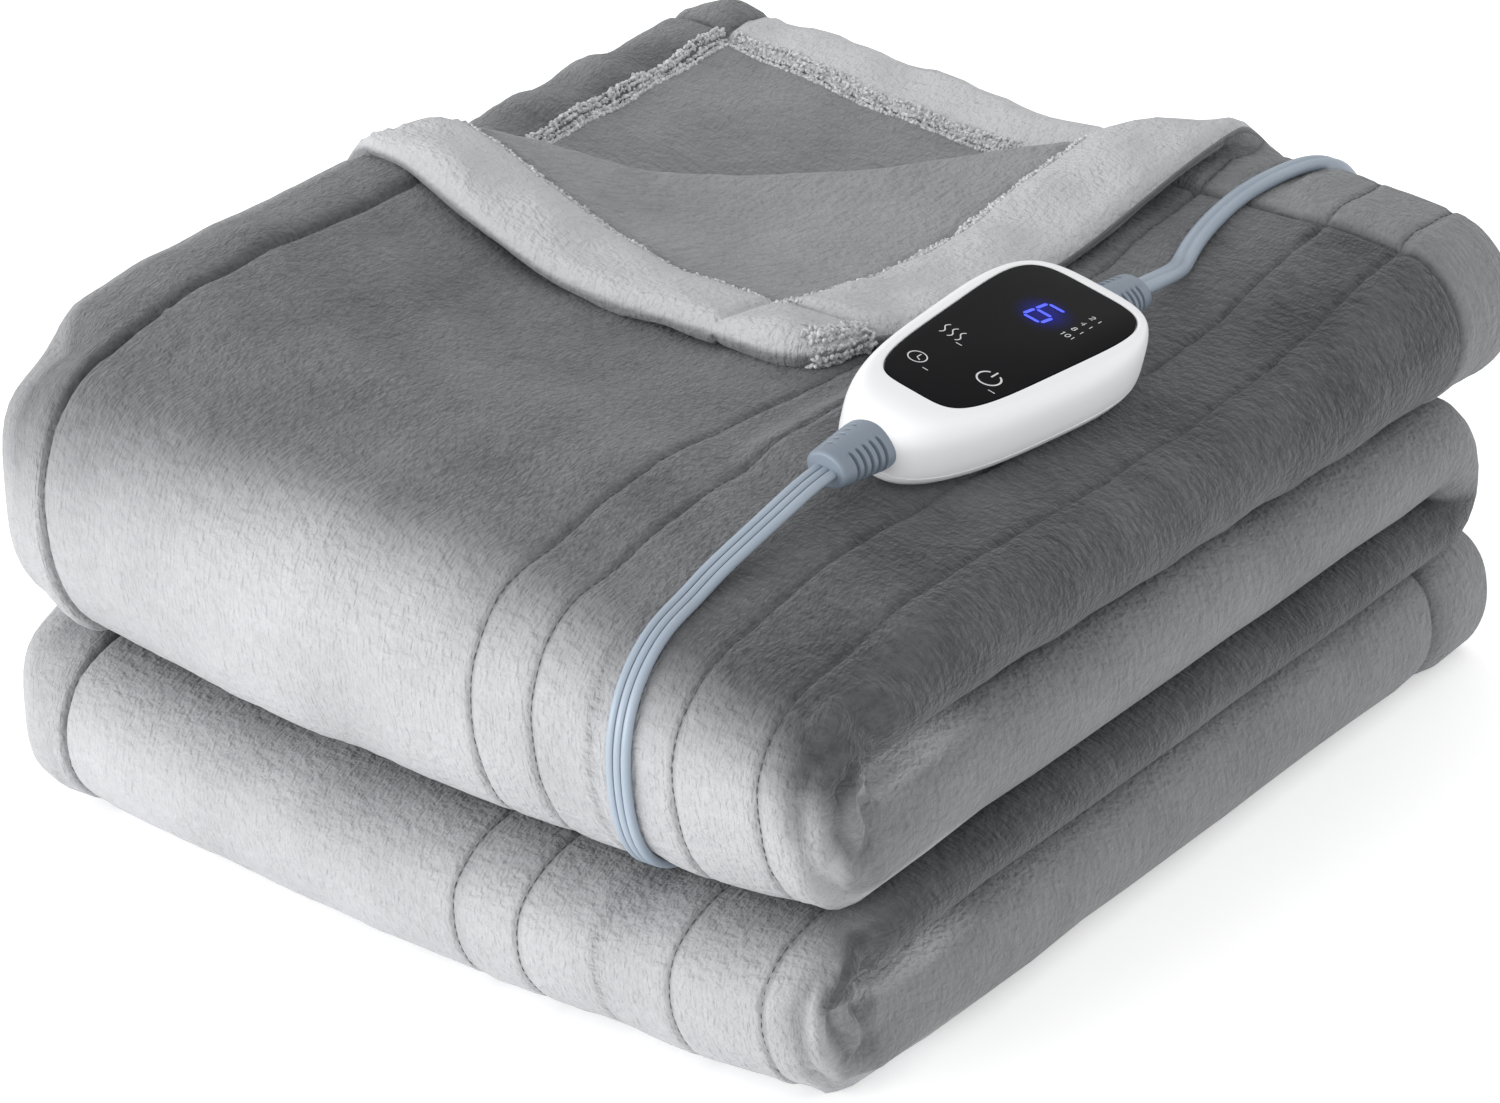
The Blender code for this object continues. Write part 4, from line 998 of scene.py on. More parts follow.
def side_faces(count, around):
    """Four-sided faces from each ring of points to the next."""
    faces = []
    for r in range(count - 1):
        for i in range(around):
            j = (i + 1) % around
            faces.append((r * around + i, r * around + j, (r + 1) * around + j, (r + 1) * around + i))
    return faces


def mesh_facing_out(name, verts, faces, finish):
    """A mesh with all its faces pointing outwards, and its material."""
    data = bpy.data.meshes.new(name)
    data.from_pydata(verts, [], faces)
    mesh = bmesh.new()
    mesh.from_mesh(data)
    bmesh.ops.recalc_face_normals(mesh, faces=mesh.faces)
    mesh.to_mesh(data)
    mesh.free()
    data.materials.append(finish)
    return data


def add_object(name, data):
    made = bpy.data.objects.new(name, data)
    bpy.context.scene.collection.objects.link(made)
    return made


def sweep(name, points, facings, outline, finish):
    """A closed tube of the outline along the points, its up side towards the facings."""
    tangents = tangents_of(points)
    across = np.cross(tangents, facings)
    across /= np.linalg.norm(across, axis=1)[:, None]
    up = np.cross(across, tangents)
    outline = np.array(outline)
    rings = points[:, None] + across[:, None] * outline[None, :, :1] + up[:, None] * outline[None, :, 1:]
    count, around = rings.shape[:2]
    verts = rings.reshape(-1, 3).tolist() + [points[0].tolist(), points[-1].tolist()]
    faces = side_faces(count, around)
    head, tail = len(verts) - 2, len(verts) - 1
    for i in range(around):
        j = (i + 1) % around
        faces.append((head, j, i))
        faces.append((tail, (count - 1) * around + i, (count - 1) * around + j))
    data = mesh_facing_out(name, verts, faces, finish)
    data.shade_smooth()
    return add_object(name, data)


# %% The cords' vinyl
CORD_DARK, CORD_PALE = (0.265, 0.320, 0.385), (0.325, 0.380, 0.445)


def vinyl_material(name, colour, pale):
    made, tree, shader = new_material(name, 0.42)
    patches = noise(tree, mapped(tree), 45.0, 3.0, 0.5)
    grain = noise(tree, mapped(tree), 1400.0, 2.0, 0.5)
    tree.links.new(blend_colours(tree, patches, colour, pale), shader.inputs["Base Color"])
    tree.links.new(spread_range(tree, grain, NOISE_LOW, NOISE_HIGH, 0.36, 0.50), shader.inputs["Roughness"])
    bumped(tree, shader, grain, 0.00008, 0.5)
    return made


cord_finish = vinyl_material("cord_vinyl", CORD_DARK, CORD_PALE)

# %% The lead, from the controller over the front fold and in between the layers
def fit_point(x, y, z):
    """A place measured in mm before the stack's middle was moved to the origin."""
    return np.array((x, y, z)) * 0.001 - ORIGIN


LEAD_LIFT, LEAD_CORE, LEAD_APART, LEAD_GROOVE = 0.0016, 0.0015, 0.0026, 27
LEAD_SINK, LEAD_SINK_FROM = 0.0033, (0.396, 0.416)  # it sinks into the crease with its pocket
CLEARANCE, CORE_STEPS = 0.0002, 8
LEAD_SPACING, LEAD_SMOOTHING, LEAD_UP = 0.0018, 16, (0.12, -0.05, 1.0)
lead_air = [
    (92.3, -91.5, 161.4), (92.3, -98.0, 161.0), (92.2, -104.5, 159.7), (91.9, -111.5, 157.6),
    (91.3, -118.5, 155.1), (90.5, -125.5, 152.4), (89.6, -132.5, 149.7), (88.8, -139.5, 147.0), (88.3, -146.5, 144.3),
]
lead_x = [
    (0.3570, 88.2), (0.3615, 88.7), (0.3670, 89.7), (0.3740, 90.8), (0.3810, 91.7), (0.3880, 91.9), (0.3950, 91.1),
    (0.4020, 89.7), (0.4090, 88.8), (0.4160, 88.6), (0.4230, 88.8), (0.4300, 89.3), (0.4370, 89.8),
]
lead_v = np.array([v for v, x in lead_x])
on_cloth, lead_up = cloth_face([0.001 * x for v, x in lead_x], lead_v, plain=True)
on_cloth = on_cloth + lead_up * (LEAD_LIFT + CLEARANCE - LEAD_SINK * smoothstep(*LEAD_SINK_FROM, lead_v))[:, None]
lead_points = np.concatenate([[fit_point(*p) for p in lead_air], on_cloth])
lead_facing = np.concatenate([[LEAD_UP] * len(lead_air), lead_up])
lead_line, lead_facing, lead_length = smooth_route(lead_points, lead_facing, LEAD_SPACING, LEAD_SMOOTHING)
lead_outline = flat_outline(3, LEAD_CORE, LEAD_APART, LEAD_GROOVE, CORE_STEPS)
blanket_lead = sweep("lead_cord", lead_line, lead_facing, lead_outline, cord_finish)
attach(blanket_lead, "root")
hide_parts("blanket_lead")
print(f"lead: {lead_length:.3f} m")

# %% The mains cord, over the back edge and down to its coil
MAINS_CORE, MAINS_APART, MAINS_GROOVE = 0.0021, 0.0034, 40
MAINS_LIFT = MAINS_CORE + CLEARANCE
MAINS_SPACING, MAINS_SMOOTHING, MAINS_UP = 0.0026, 6, (0.1, 0.0, 1.0)
mains_air = [
    (93.6, 66.0, 166.7), (93.8, 74.0, 166.9), (93.6, 82.0, 166.4),
    (92.2, 91.0, 165.0), (89.8, 99.5, 163.2), (86.8, 108.0, 161.2),
]
on_top, mains_up = cloth_face([0.001 * x for v, x in MAINS_X], [v for v, x in MAINS_X], lift=MAINS_LIFT, plain=True)
# down behind the stack and along the floor to the coil, turning on edge for it
mains_fall = [
    (85.4, 209.0, 169.4), (85.6, 217.5, 164.4), (86.2, 225.0, 156.0), (86.8, 230.0, 145.0), (87.0, 233.4, 127.0),
    (87.0, 234.6, 104.0), (87.0, 235.0, 80.0), (86.6, 235.4, 60.0), (84.8, 236.0, 41.0), (79.6, 236.6, 24.0),
    (70.6, 237.4, 11.2), (59.0, 238.2, 4.3), (46.0, 239.0, 2.6), (32.0, 239.6, 2.5), (17.0, 240.0, 4.0),
    (2.0, 240.2, 4.5), (-13.0, 240.2, 5.2),
]
fall_up = [
    (0.1, 0.6, 0.9), (0.05, 0.9, 0.6), (0, 1, 0.3), (0, 1, 0.2), (-0.1, 1, 0.0),
    (-0.4, 0.9, 0), (-0.8, 0.6, 0), (-1, 0.2, 0.05), (-0.95, 0, 0.3), (-0.8, 0, 0.6),
    (-0.45, 0, 0.9), (-0.15, 0, 1), (0, 0, 1), (0, -0.1, 1), (0, -0.5, 0.85),
    (0, -0.9, 0.4), (0, -1, 0.1),
]

# %% The coil's turns, and the tail to the plug
COIL_AT, COIL_OUTER, COIL_INNER = (-0.0350, 0.2880), 0.0477, 0.0363
LOW_TURNS, CLIMB, HIGH_TURNS = 2.52, 0.22, 2.52
COIL_LOW_Z, COIL_HIGH_Z = 0.0058, 0.0136
FIRST_TURN, KNOTS_PER_TURN, CLIMB_EASE = 0.03, 30, 0.02


def coil_knots():
    """Clockwise from the south: inward on the floor, up on the inside, and outward on top."""
    knots, facing = [], []
    total = LOW_TURNS + CLIMB + HIGH_TURNS
    for turns in np.arange(FIRST_TURN, total, 1 / KNOTS_PER_TURN):
        angle = math.radians(-90.0 - 360.0 * turns)
        inward = min(turns / LOW_TURNS, 1.0)
        outward = max(0.0, (turns - LOW_TURNS - CLIMB) / HIGH_TURNS)
        radius = COIL_OUTER + (COIL_INNER - COIL_OUTER) * (inward - outward)
        climb = float(smoothstep(LOW_TURNS - CLIMB_EASE, LOW_TURNS + CLIMB + CLIMB_EASE, turns))
        z = COIL_LOW_Z + (COIL_HIGH_Z - COIL_LOW_Z) * climb
        knots.append((COIL_AT[0] + radius * math.cos(angle), COIL_AT[1] + radius * math.sin(angle), z))
        facing.append((math.cos(angle), math.sin(angle), 0.0))
    return np.array(knots) - ORIGIN, facing


coil_line, coil_up = coil_knots()
mains_tail = [
    (-86.9, 299.5, 12.4), (-88.6, 306.0, 11.6), (-92.2, 312.6, 10.5), (-98.0, 318.4, 9.4),
    (-105.6, 322.9, 8.4), (-113.0, 325.1, 7.9), (-119.5, 325.8, 7.7), (-126.0, 326.4, 7.7),
]
tail_up = [
    (-0.97, -0.2, 0), (-0.93, -0.35, 0), (-0.8, -0.6, 0), (-0.6, -0.8, 0),
    (-0.4, -0.92, 0), (-0.2, -0.98, 0), (-0.1, -1, 0), (-0.1, -1, 0),
]
air, fall, tail = ([fit_point(*p) for p in part] for part in (mains_air, mains_fall, mains_tail))
mains_points = np.concatenate([air, on_top, fall, coil_line, tail])
mains_facing = np.concatenate([[MAINS_UP] * len(mains_air), mains_up, fall_up, coil_up, tail_up])
mains_line, mains_facing, mains_length = smooth_route(mains_points, mains_facing, MAINS_SPACING, MAINS_SMOOTHING)
mains_outline = flat_outline(2, MAINS_CORE, MAINS_APART, MAINS_GROOVE, CORE_STEPS)
mains_cord = sweep("mains_lead", mains_line, mains_facing, mains_outline, cord_finish)
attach(mains_cord, "root")
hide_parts("mains_cord", "mains_coil", "mains_tail")
print(f"mains cord: {mains_length:.3f} m, {LOW_TURNS + CLIMB + HIGH_TURNS:.2f} turns in its coil")

# %% [markdown]
# ## The tie and the plug
#
# The coil is held by a soft black band, and the cord ends in a moulded two-blade plug. The band is a rounded section
# swept across the coil. The plug is a skin through rounded sections, finer than the solid model's, with a grip waist
# and with ribs at its neck.

# %% Helpers for pieces made of rings
def ring_mesh(name, rings, finish):
    """One closed skin through rings of the same count, capped at both ends."""
    around = len(rings[0])
    verts = [tuple(p) for ring in rings for p in ring]
    faces = side_faces(len(rings), around)
    faces.append(tuple(range(around))[::-1])
    faces.append(tuple(range((len(rings) - 1) * around, len(rings) * around)))
    return mesh_facing_out(name, verts, faces, finish)


def crease_by_angle(data, degrees):
    """Keeps an edge sharp where its faces meet at more than this angle."""
    data.shade_smooth()
    data.set_sharp_from_angle(angle=math.radians(degrees))


def place_mesh(data, matrix):
    """Moves the mesh itself, so that its object stays at the origin."""
    data.transform(matrix)
    data.update()
    return data


CORNER_STEPS = 6


def rounded_section(low, high, inner, outer, corner):
    """A rectangle with round corners, as (radius, z), from the outer foot round to the inner foot."""
    places = []
    for x, z, first in ((outer - corner, low + corner, -90), (outer - corner, high - corner, 0),
                        (inner + corner, high - corner, 90), (inner + corner, low + corner, 180)):
        for k in range(CORNER_STEPS + 1):
            angle = math.radians(first + 90 * k / CORNER_STEPS)
            places.append((x + corner * math.cos(angle), z + corner * math.sin(angle)))
    return places


# %% The tie
def black_soft_material():
    made, tree, shader = new_material("tie_rubber", 0.55)
    patches = noise(tree, mapped(tree), 300.0, 3.0, 0.6)
    shades = blend_colours(tree, patches, (0.016, 0.016, 0.017), (0.030, 0.030, 0.031))
    tree.links.new(shades, shader.inputs["Base Color"])
    bumped(tree, shader, patches, 0.00015, 0.6)
    return made


tie_finish = black_soft_material()
COIL_RADIUS, COIL_BAND, COIL_LOW, COIL_HIGH = 0.0420, 0.0146, 0.0016, 0.0186
TIE_ANGLE, TIE_WIDTH, TIE_THICK, TIE_SLACK, GAP = math.radians(60.0), 0.0080, 0.0010, 0.0009, 0.0003
TIE_CORNER, TIE_SOFT, TIE_SHOULDER = 0.0033, 0.00035, 0.3
TIE_RINGS = (("inside", -1, 0), ("inside", -1, 1), ("outside", -1, 1), ("outside", -1, 0),
             ("outside", 1, 0), ("outside", 1, 1), ("inside", 1, 1), ("inside", 1, 0))


def make_tie():
    """The band's inside, outside and soft edges, as eight rings joined in a loop."""
    half = 0.5 * COIL_BAND + TIE_SLACK
    inside = rounded_section(COIL_LOW - GAP, COIL_HIGH + GAP, COIL_RADIUS - half, COIL_RADIUS + half, TIE_CORNER)
    outside = rounded_section(COIL_LOW - GAP - TIE_THICK, COIL_HIGH + GAP + TIE_THICK, COIL_RADIUS - half - TIE_THICK,
                              COIL_RADIUS + half + TIE_THICK, TIE_CORNER + TIE_THICK)
    outward = Vector((math.cos(TIE_ANGLE), math.sin(TIE_ANGLE), 0.0))
    sideways = Vector((-outward.y, outward.x, 0.0))
    centre = Vector((COIL_AT[0], COIL_AT[1], 0.0)) - Vector(ORIGIN)
    rings = []
    for face, side, inset in TIE_RINGS:
        section, opposite = (inside, outside) if face == "inside" else (outside, inside)
        share = TIE_SHOULDER * inset
        reach = side * (0.5 * TIE_WIDTH - (0.0 if inset else TIE_SOFT))
        ring = []
        for (radius, z), (other, height) in zip(section, opposite):
            across = outward * (radius + (other - radius) * share)
            ring.append(centre + across + sideways * reach + Vector((0, 0, z + (height - z) * share)))
        rings.append(ring)
    verts = [tuple(p) for ring in rings for p in ring]
    around, count = len(inside), len(verts)
    faces = side_faces(len(rings), around)
    for i in range(around):
        j = (i + 1) % around
        faces.append((count - around + i, count - around + j, j, i))
    data = mesh_facing_out("coil_tie", verts, faces, tie_finish)
    crease_by_angle(data, 50)
    return add_object("coil_tie", data)


tie = make_tie()
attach(tie, "root")
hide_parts("cord_tie")

# %% The plug and its blades
PLUG_AT, PLUG_TURN, PLUG_LENGTH = (-0.1205, 0.3259, 0.0077), math.radians(84.0), 42.0
PLUG_RINGS, PLUG_AROUND, PLUG_ROUND = 64, 48, 0.75
NECK, NECK_RIB, NECK_RIB_PITCH = (2.0, 11.0), 0.9, 2.25
GRIP, GRIP_DEPTH, GRIP_RIB, GRIP_RIB_PITCH = (29.0, 36.0), 1.0, 0.25, 1.75
PLUG_SECTIONS = (  # along, width and height in mm
    (0.0, 8.6, 8.0), (2.0, 9.6, 9.0), (11.0, 11.6, 10.6), (14.0, 16.0, 12.4), (19.0, 22.0, 14.4),
    (27.0, 25.0, 15.2), (38.0, 25.0, 15.2), (41.0, 24.0, 14.4), (42.0, 22.0, 12.6),
)
plug_place = Matrix.Translation(Vector(PLUG_AT) - Vector(ORIGIN)) @ Matrix.Rotation(PLUG_TURN, 4, "Z")


def make_plug():
    knots = np.array(PLUG_SECTIONS)
    rings = []
    for along in np.linspace(0.0, PLUG_LENGTH, PLUG_RINGS):
        width, height = (np.interp(along, knots[:, 0], knots[:, k]) for k in (1, 2))
        if NECK[0] < along < NECK[1]:
            rib = NECK_RIB * max(0.0, math.sin(2 * math.pi * (along - NECK[0]) / NECK_RIB_PITCH))
            width, height = width - rib, height - rib
        if GRIP[0] < along < GRIP[1]:
            past = along - GRIP[0]
            waist = GRIP_DEPTH * math.sin(math.pi * past / (GRIP[1] - GRIP[0]))
            height -= waist + GRIP_RIB * math.sin(2 * math.pi * past / GRIP_RIB_PITCH)
        ring = []
        for i in range(PLUG_AROUND):
            angle = 2 * math.pi * (i + 0.5) / PLUG_AROUND
            a, b = (math.copysign(abs(c) ** PLUG_ROUND, c) for c in (math.cos(angle), math.sin(angle)))
            ring.append((0.0005 * width * a, 0.001 * along, 0.0005 * height * b))
        rings.append(ring)
    data = ring_mesh("plug_moulding", rings, cord_finish)
    crease_by_angle(data, 60)
    return add_object("plug_moulding", place_mesh(data, plug_place))


def blade_material():
    made, tree, shader = new_material("blade_metal", 0.28, 1.0)
    brushed = noise(tree, mapped(tree, (3000.0, 200.0, 200.0), rotation=(0, 0, -0.1)), 1.0, 2.0, 0.5)
    tree.links.new(blend_colours(tree, brushed, (0.62, 0.60, 0.55), (0.78, 0.76, 0.72)), shader.inputs["Base Color"])
    tree.links.new(spread_range(tree, brushed, NOISE_LOW, NOISE_HIGH, 0.22, 0.38), shader.inputs["Roughness"])
    return made


BLADE_SIZE, BLADE_SIDE, BLADE_MIDDLE = (0.0015, 0.0170, 0.0063), 0.00635, 0.0423 + 0.0085
BLADE_TIP, BLADE_TAPER, BLADE_EDGE = 0.055, 0.78, 0.0003


def make_blade(side, finish, name):
    """A flat blade with a narrower tip and soft edges."""
    mesh = bmesh.new()
    bmesh.ops.create_cube(mesh, size=1.0)
    bmesh.ops.transform(mesh, matrix=Matrix.Diagonal((*BLADE_SIZE, 1.0)), verts=mesh.verts)
    bmesh.ops.transform(mesh, matrix=Matrix.Translation((side * BLADE_SIDE, BLADE_MIDDLE, 0.0)), verts=mesh.verts)
    tip = [v for v in mesh.verts if v.co.y > BLADE_TIP]
    for vert in tip:
        vert.co.z *= BLADE_TAPER
    bmesh.ops.bevel(mesh, geom=mesh.edges[:], offset=BLADE_EDGE, segments=2, affect="EDGES")
    data = bpy.data.meshes.new(name)
    mesh.to_mesh(data)
    mesh.free()
    data.materials.append(finish)
    crease_by_angle(data, 35)
    return add_object(name, place_mesh(data, plug_place))


metal_finish = blade_material()
plug = make_plug()
blades = [make_blade(-1, metal_finish, "blade_left"), make_blade(1, metal_finish, "blade_right")]
for piece, node, slot in (
    (plug, "plug_body", "blue_grey_vinyl"),
    (blades[0], "plug_blade_left", "bright_metal"),
    (blades[1], "plug_blade_right", "bright_metal"),
):
    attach(piece, "root")
    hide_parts(node)
print("plug at", tuple(round(c, 4) for c in plug_place.translation))

# %% [markdown]
# ## The controller's housing
#
# The housing is a white satin moulding with a rounded crown. Its outline is a superellipse that narrows to the front,
# and rings of that outline, first rising and then closing in to the panel, make the crown. A fine line near its foot is
# where the two halves of the mould meet.

# %% Outlines of the housing and the panel
HOUSING_FRONT, HOUSING_BACK, HOUSING_HEIGHT, SHOULDER_HEIGHT = -0.0580, 0.0650, 0.0235, 0.0120
HOUSING_WIDTHS, HOUSING_SQUARE = (0.0440, 0.0680), 3.0  # at the front and the back, and how square its outline is
PANEL_ENDS, PANEL_WIDTHS, PANEL_SQUARE = (-0.0385, 0.0564), (0.0352, 0.0516), 4.6
PANEL_RIM, PANEL_THICK, OUTLINE_POINTS = 0.0012, 0.0010, 144
CROWN_STEPS, CROWN_POWER = 24, 2.0 / 2.7
controller_turn = Euler(CONTROLLER_TURN, "XYZ").to_matrix().to_4x4()
controller_place = Matrix.Translation(Vector(CONTROLLER_AT) - Vector(ORIGIN)) @ controller_turn


def tapered_outline(front, back, front_width, back_width, power):
    """A superellipse that narrows to the front."""
    points = []
    for i in range(OUTLINE_POINTS):
        angle = 2.0 * math.pi * (i + 0.5) / OUTLINE_POINTS
        across, along = math.cos(angle), math.sin(angle)
        y = 0.5 * (front + back) + 0.5 * (back - front) * math.copysign(abs(along) ** (2.0 / power), along)
        width = front_width + (back_width - front_width) * (y - front) / (back - front)
        points.append((0.5 * width * math.copysign(abs(across) ** (2.0 / power), across), y))
    return points


def housing_outline(inset):
    widths = [width - 2 * inset for width in HOUSING_WIDTHS]
    return tapered_outline(HOUSING_FRONT + inset, HOUSING_BACK - inset, *widths, HOUSING_SQUARE)


def panel_outline(grown):
    widths = [width + 2 * grown for width in PANEL_WIDTHS]
    return tapered_outline(PANEL_ENDS[0] - grown, PANEL_ENDS[1] + grown, *widths, PANEL_SQUARE)


def at_height(outline, z):
    return [(x, y, z) for x, y in outline]


# %% The white moulding
def white_material():
    made, tree, shader = new_material("white_moulding", 0.26)
    patches = noise(tree, mapped(tree), 30.0, 2.0, 0.5)
    whites = blend_colours(tree, patches, (0.790, 0.797, 0.815), (0.830, 0.835, 0.848))
    tree.links.new(whites, shader.inputs["Base Color"])
    tree.links.new(spread_range(tree, patches, NOISE_LOW, NOISE_HIGH, 0.33, 0.39), shader.inputs["Roughness"])
    return made


FOOT = (  # how far in each ring lies, and its height: the rounded foot with the line where the halves meet
    (0.0070, 0.0), (0.0058, 0.0001), (0.0030, 0.0008), (0.0012, 0.0025), (0.0005, 0.0040), (0.00035, 0.0046),
    (0.00060, 0.0048), (0.00060, 0.0050), (0.00025, 0.0052), (0.0001, 0.0064), (0.0, 0.0080), (0.0, 0.0100),
)


def make_housing():
    rings = [at_height(housing_outline(inset), z) for inset, z in FOOT]
    side, rim = housing_outline(0.0), panel_outline(PANEL_RIM)
    for k in range(CROWN_STEPS + 1):
        angle = 0.5 * math.pi * k / CROWN_STEPS
        inward, up = 1.0 - math.cos(angle) ** CROWN_POWER, math.sin(angle) ** CROWN_POWER
        z = SHOULDER_HEIGHT + (HOUSING_HEIGHT - SHOULDER_HEIGHT) * up
        rings.append([(a + (c - a) * inward, b + (d - b) * inward, z) for (a, b), (c, d) in zip(side, rim)])
    floor = HOUSING_HEIGHT - PANEL_THICK - GAP
    rings.append(at_height(panel_outline(0.0006), HOUSING_HEIGHT))
    rings.append(at_height(panel_outline(GAP), HOUSING_HEIGHT - 0.0003))
    rings.append(at_height(panel_outline(GAP), floor))
    data = ring_mesh("controller_moulding", rings, white_material())
    crease_by_angle(data, 42)
    return add_object("controller_moulding", place_mesh(data, controller_place))


housing = make_housing()
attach(housing, "root")
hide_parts("controller_housing")
print("housing:", len(housing.data.polygons), "faces")

# %% [markdown]
# ## The touch panel and its marks
#
# The panel is a satin black plate with a softened edge. The display is a plain seven-segment digit, so each lit
# segment is a small glowing plate. The marks beside the touch keys are printed: a wave sign for heat, a clock for
# time, a switch sign, and four plain numbers for the hours. Each mark is built from thin strokes.

# %% The panel
LED_AT, GLOW_COLOUR, GLOW_NEAR, GLOW_FAR = (-0.0007, 0.0310), (0.004, 0.006, 0.16), 0.0035, 0.0115


def panel_material():
    made, tree, shader = new_material("panel_black", 0.30)
    smudges = noise(tree, mapped(tree), 55.0, 4.0, 0.6)
    blacks = blend_colours(tree, smudges, (0.0075, 0.0075, 0.0085), (0.0105, 0.0105, 0.0115))
    tree.links.new(blacks, shader.inputs["Base Color"])
    tree.links.new(spread_range(tree, smudges, NOISE_LOW, NOISE_HIGH, 0.30, 0.38), shader.inputs["Roughness"])
    shader.inputs["Specular IOR Level"].default_value = 0.02
    # a faint glow round the lit digit
    centre = controller_place @ Vector((*LED_AT, HOUSING_HEIGHT))
    source = add_node(tree, "ShaderNodeTexCoord")
    away = add_node(tree, "ShaderNodeVectorMath", operation="DISTANCE")
    away.inputs[1].default_value = centre
    tree.links.new(source.outputs["Object"], away.inputs[0])
    glow = spread_range(tree, away.outputs["Value"], GLOW_NEAR, GLOW_FAR, 1.0, 0.0)
    glow = calculate(tree, "POWER", glow, 2.0)
    tree.links.new(blend_colours(tree, glow, (0.0, 0.0, 0.0), GLOW_COLOUR), shader.inputs["Emission Color"])
    shader.inputs["Emission Strength"].default_value = 1.0
    return made


def make_panel():
    low, high = HOUSING_HEIGHT - PANEL_THICK, HOUSING_HEIGHT
    rings = [at_height(panel_outline(0.0), low), at_height(panel_outline(0.0), high - 0.00025),
             at_height(panel_outline(-0.00008), high - 0.00008), at_height(panel_outline(-0.0003), high)]
    data = ring_mesh("panel_plate", rings, panel_material())
    crease_by_angle(data, 50)
    return add_object("panel_plate", place_mesh(data, controller_place))


panel = make_panel()
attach(panel, "root")
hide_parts("touch_panel")


# %% Strokes for the printed marks
ARC_STEPS, END_POINTS = 28, 6


class Strokes:
    """Collects thin flat strokes on the panel and makes one mesh of them."""

    def __init__(self, height=0.00006):
        self.mesh, self.z = bmesh.new(), HOUSING_HEIGHT + height

    def line(self, points, width):
        """A stroke of constant width with round ends along points in metres."""
        points = [Vector(p) for p in points]
        closed = (points[0] - points[-1]).length < 1e-7
        if closed:
            points = points[:-1]
        left, right = [], []
        for i, point in enumerate(points):
            before = points[i - 1] if i or closed else point
            after = points[(i + 1) % len(points)] if i < len(points) - 1 or closed else point
            along = (after - before).normalized()
            side = Vector((-along.y, along.x)) * 0.5 * width
            left.append(self.mesh.verts.new((*(point + side), self.z)))
            right.append(self.mesh.verts.new((*(point - side), self.z)))
        count = len(points)
        for i in range(count if closed else count - 1):
            j = (i + 1) % count
            self.mesh.faces.new((left[i], right[i], right[j], left[j]))
        if not closed:
            for point, other in ((points[0], points[1]), (points[-1], points[-2])):
                back = math.atan2(point.y - other.y, point.x - other.x)
                turns = [back + a for a in np.linspace(-math.pi / 2, math.pi / 2, END_POINTS)]
                fan = [(point.x + 0.5 * width * math.cos(t), point.y + 0.5 * width * math.sin(t)) for t in turns]
                self.plate(fan)

    def arc(self, centre, radius, first, last, width):
        angles = np.radians(np.linspace(first, last, ARC_STEPS + 1))
        self.line([(centre[0] + radius * math.cos(a), centre[1] + radius * math.sin(a)) for a in angles], width)

    def plate(self, corners):
        """One flat face."""
        self.mesh.faces.new([self.mesh.verts.new((x, y, self.z)) for x, y in corners])

    def finish(self, name, material):
        """Turns all faces up and makes the object, on the controller."""
        for face in self.mesh.faces:
            face.normal_update()
            if face.normal.z < 0:
                face.normal_flip()
        data = bpy.data.meshes.new(name)
        self.mesh.to_mesh(data)
        self.mesh.free()
        data.materials.append(material)
        piece = add_object(name, place_mesh(data, controller_place))
        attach(piece, "root")
        return piece


# %% Numbers drawn with strokes, for the hours
def digit_strokes(character):
    """Strokes in a box one unit wide and 1.6 high, for the few numbers on the panel."""
    def bow(cx, cy, rx, ry, first, last, steps=12):
        angles = np.radians(np.linspace(first, last, steps))
        return [(cx + rx * math.cos(a), cy + ry * math.sin(a)) for a in angles]

    shapes = {
        "1": [[(0.25, 1.25), (0.55, 1.6), (0.55, 0.0)]],
        "2": [bow(0.5, 1.12, 0.45, 0.46, 170, -35) + [(0.05, 0.0), (0.98, 0.0)]],
        "4": [[(0.75, 0.0), (0.75, 1.6), (0.05, 0.5), (1.0, 0.5)]],
        "8": [bow(0.5, 1.2, 0.38, 0.38, 0, 360, 17), bow(0.5, 0.42, 0.46, 0.42, 0, 360, 17)],
        "0": [bow(0.5, 0.8, 0.46, 0.8, 0, 360, 19)],
    }
    return shapes[character]


def print_material():
    made, tree, shader = new_material("printed_white", 0.5)
    wear = noise(tree, mapped(tree), 900.0, 2.0, 0.5)
    tree.links.new(blend_colours(tree, wear, (0.52, 0.52, 0.53), (0.72, 0.72, 0.73)), shader.inputs["Base Color"])
    return made


# %% The printed marks
FINE, THIN, PLAIN, BOLD = 0.00032, 0.00035, 0.00042, 0.00062  # widths of the strokes
HOURS_AT, HOURS_APART, HOURS_SIZE, HOURS_SPREAD, HOURS_SLANT = (0.0098, 0.0415), 0.0050, 0.00135, 1.35, 0.12
BAR_X, BAR_HALF, BAR_WIDTH = 0.0134, 0.0008, 0.00028

print_finish = print_material()
marks = Strokes()
for row, text in enumerate(("2", "4", "8", "10")):
    y, size = HOURS_AT[1] - HOURS_APART * row, HOURS_SIZE
    for place, character in enumerate(text):
        x = HOURS_AT[0] + place * HOURS_SPREAD * size - (0.68 * size if len(text) > 1 else 0.0)
        for stroke in digit_strokes(character):
            line = [(x + px * size + HOURS_SLANT * py * size, y + (py - 0.8) * size) for px, py in stroke]
            marks.line(line, FINE)
    marks.line([(BAR_X, y - BAR_HALF), (BAR_X, y + BAR_HALF)], BAR_WIDTH)

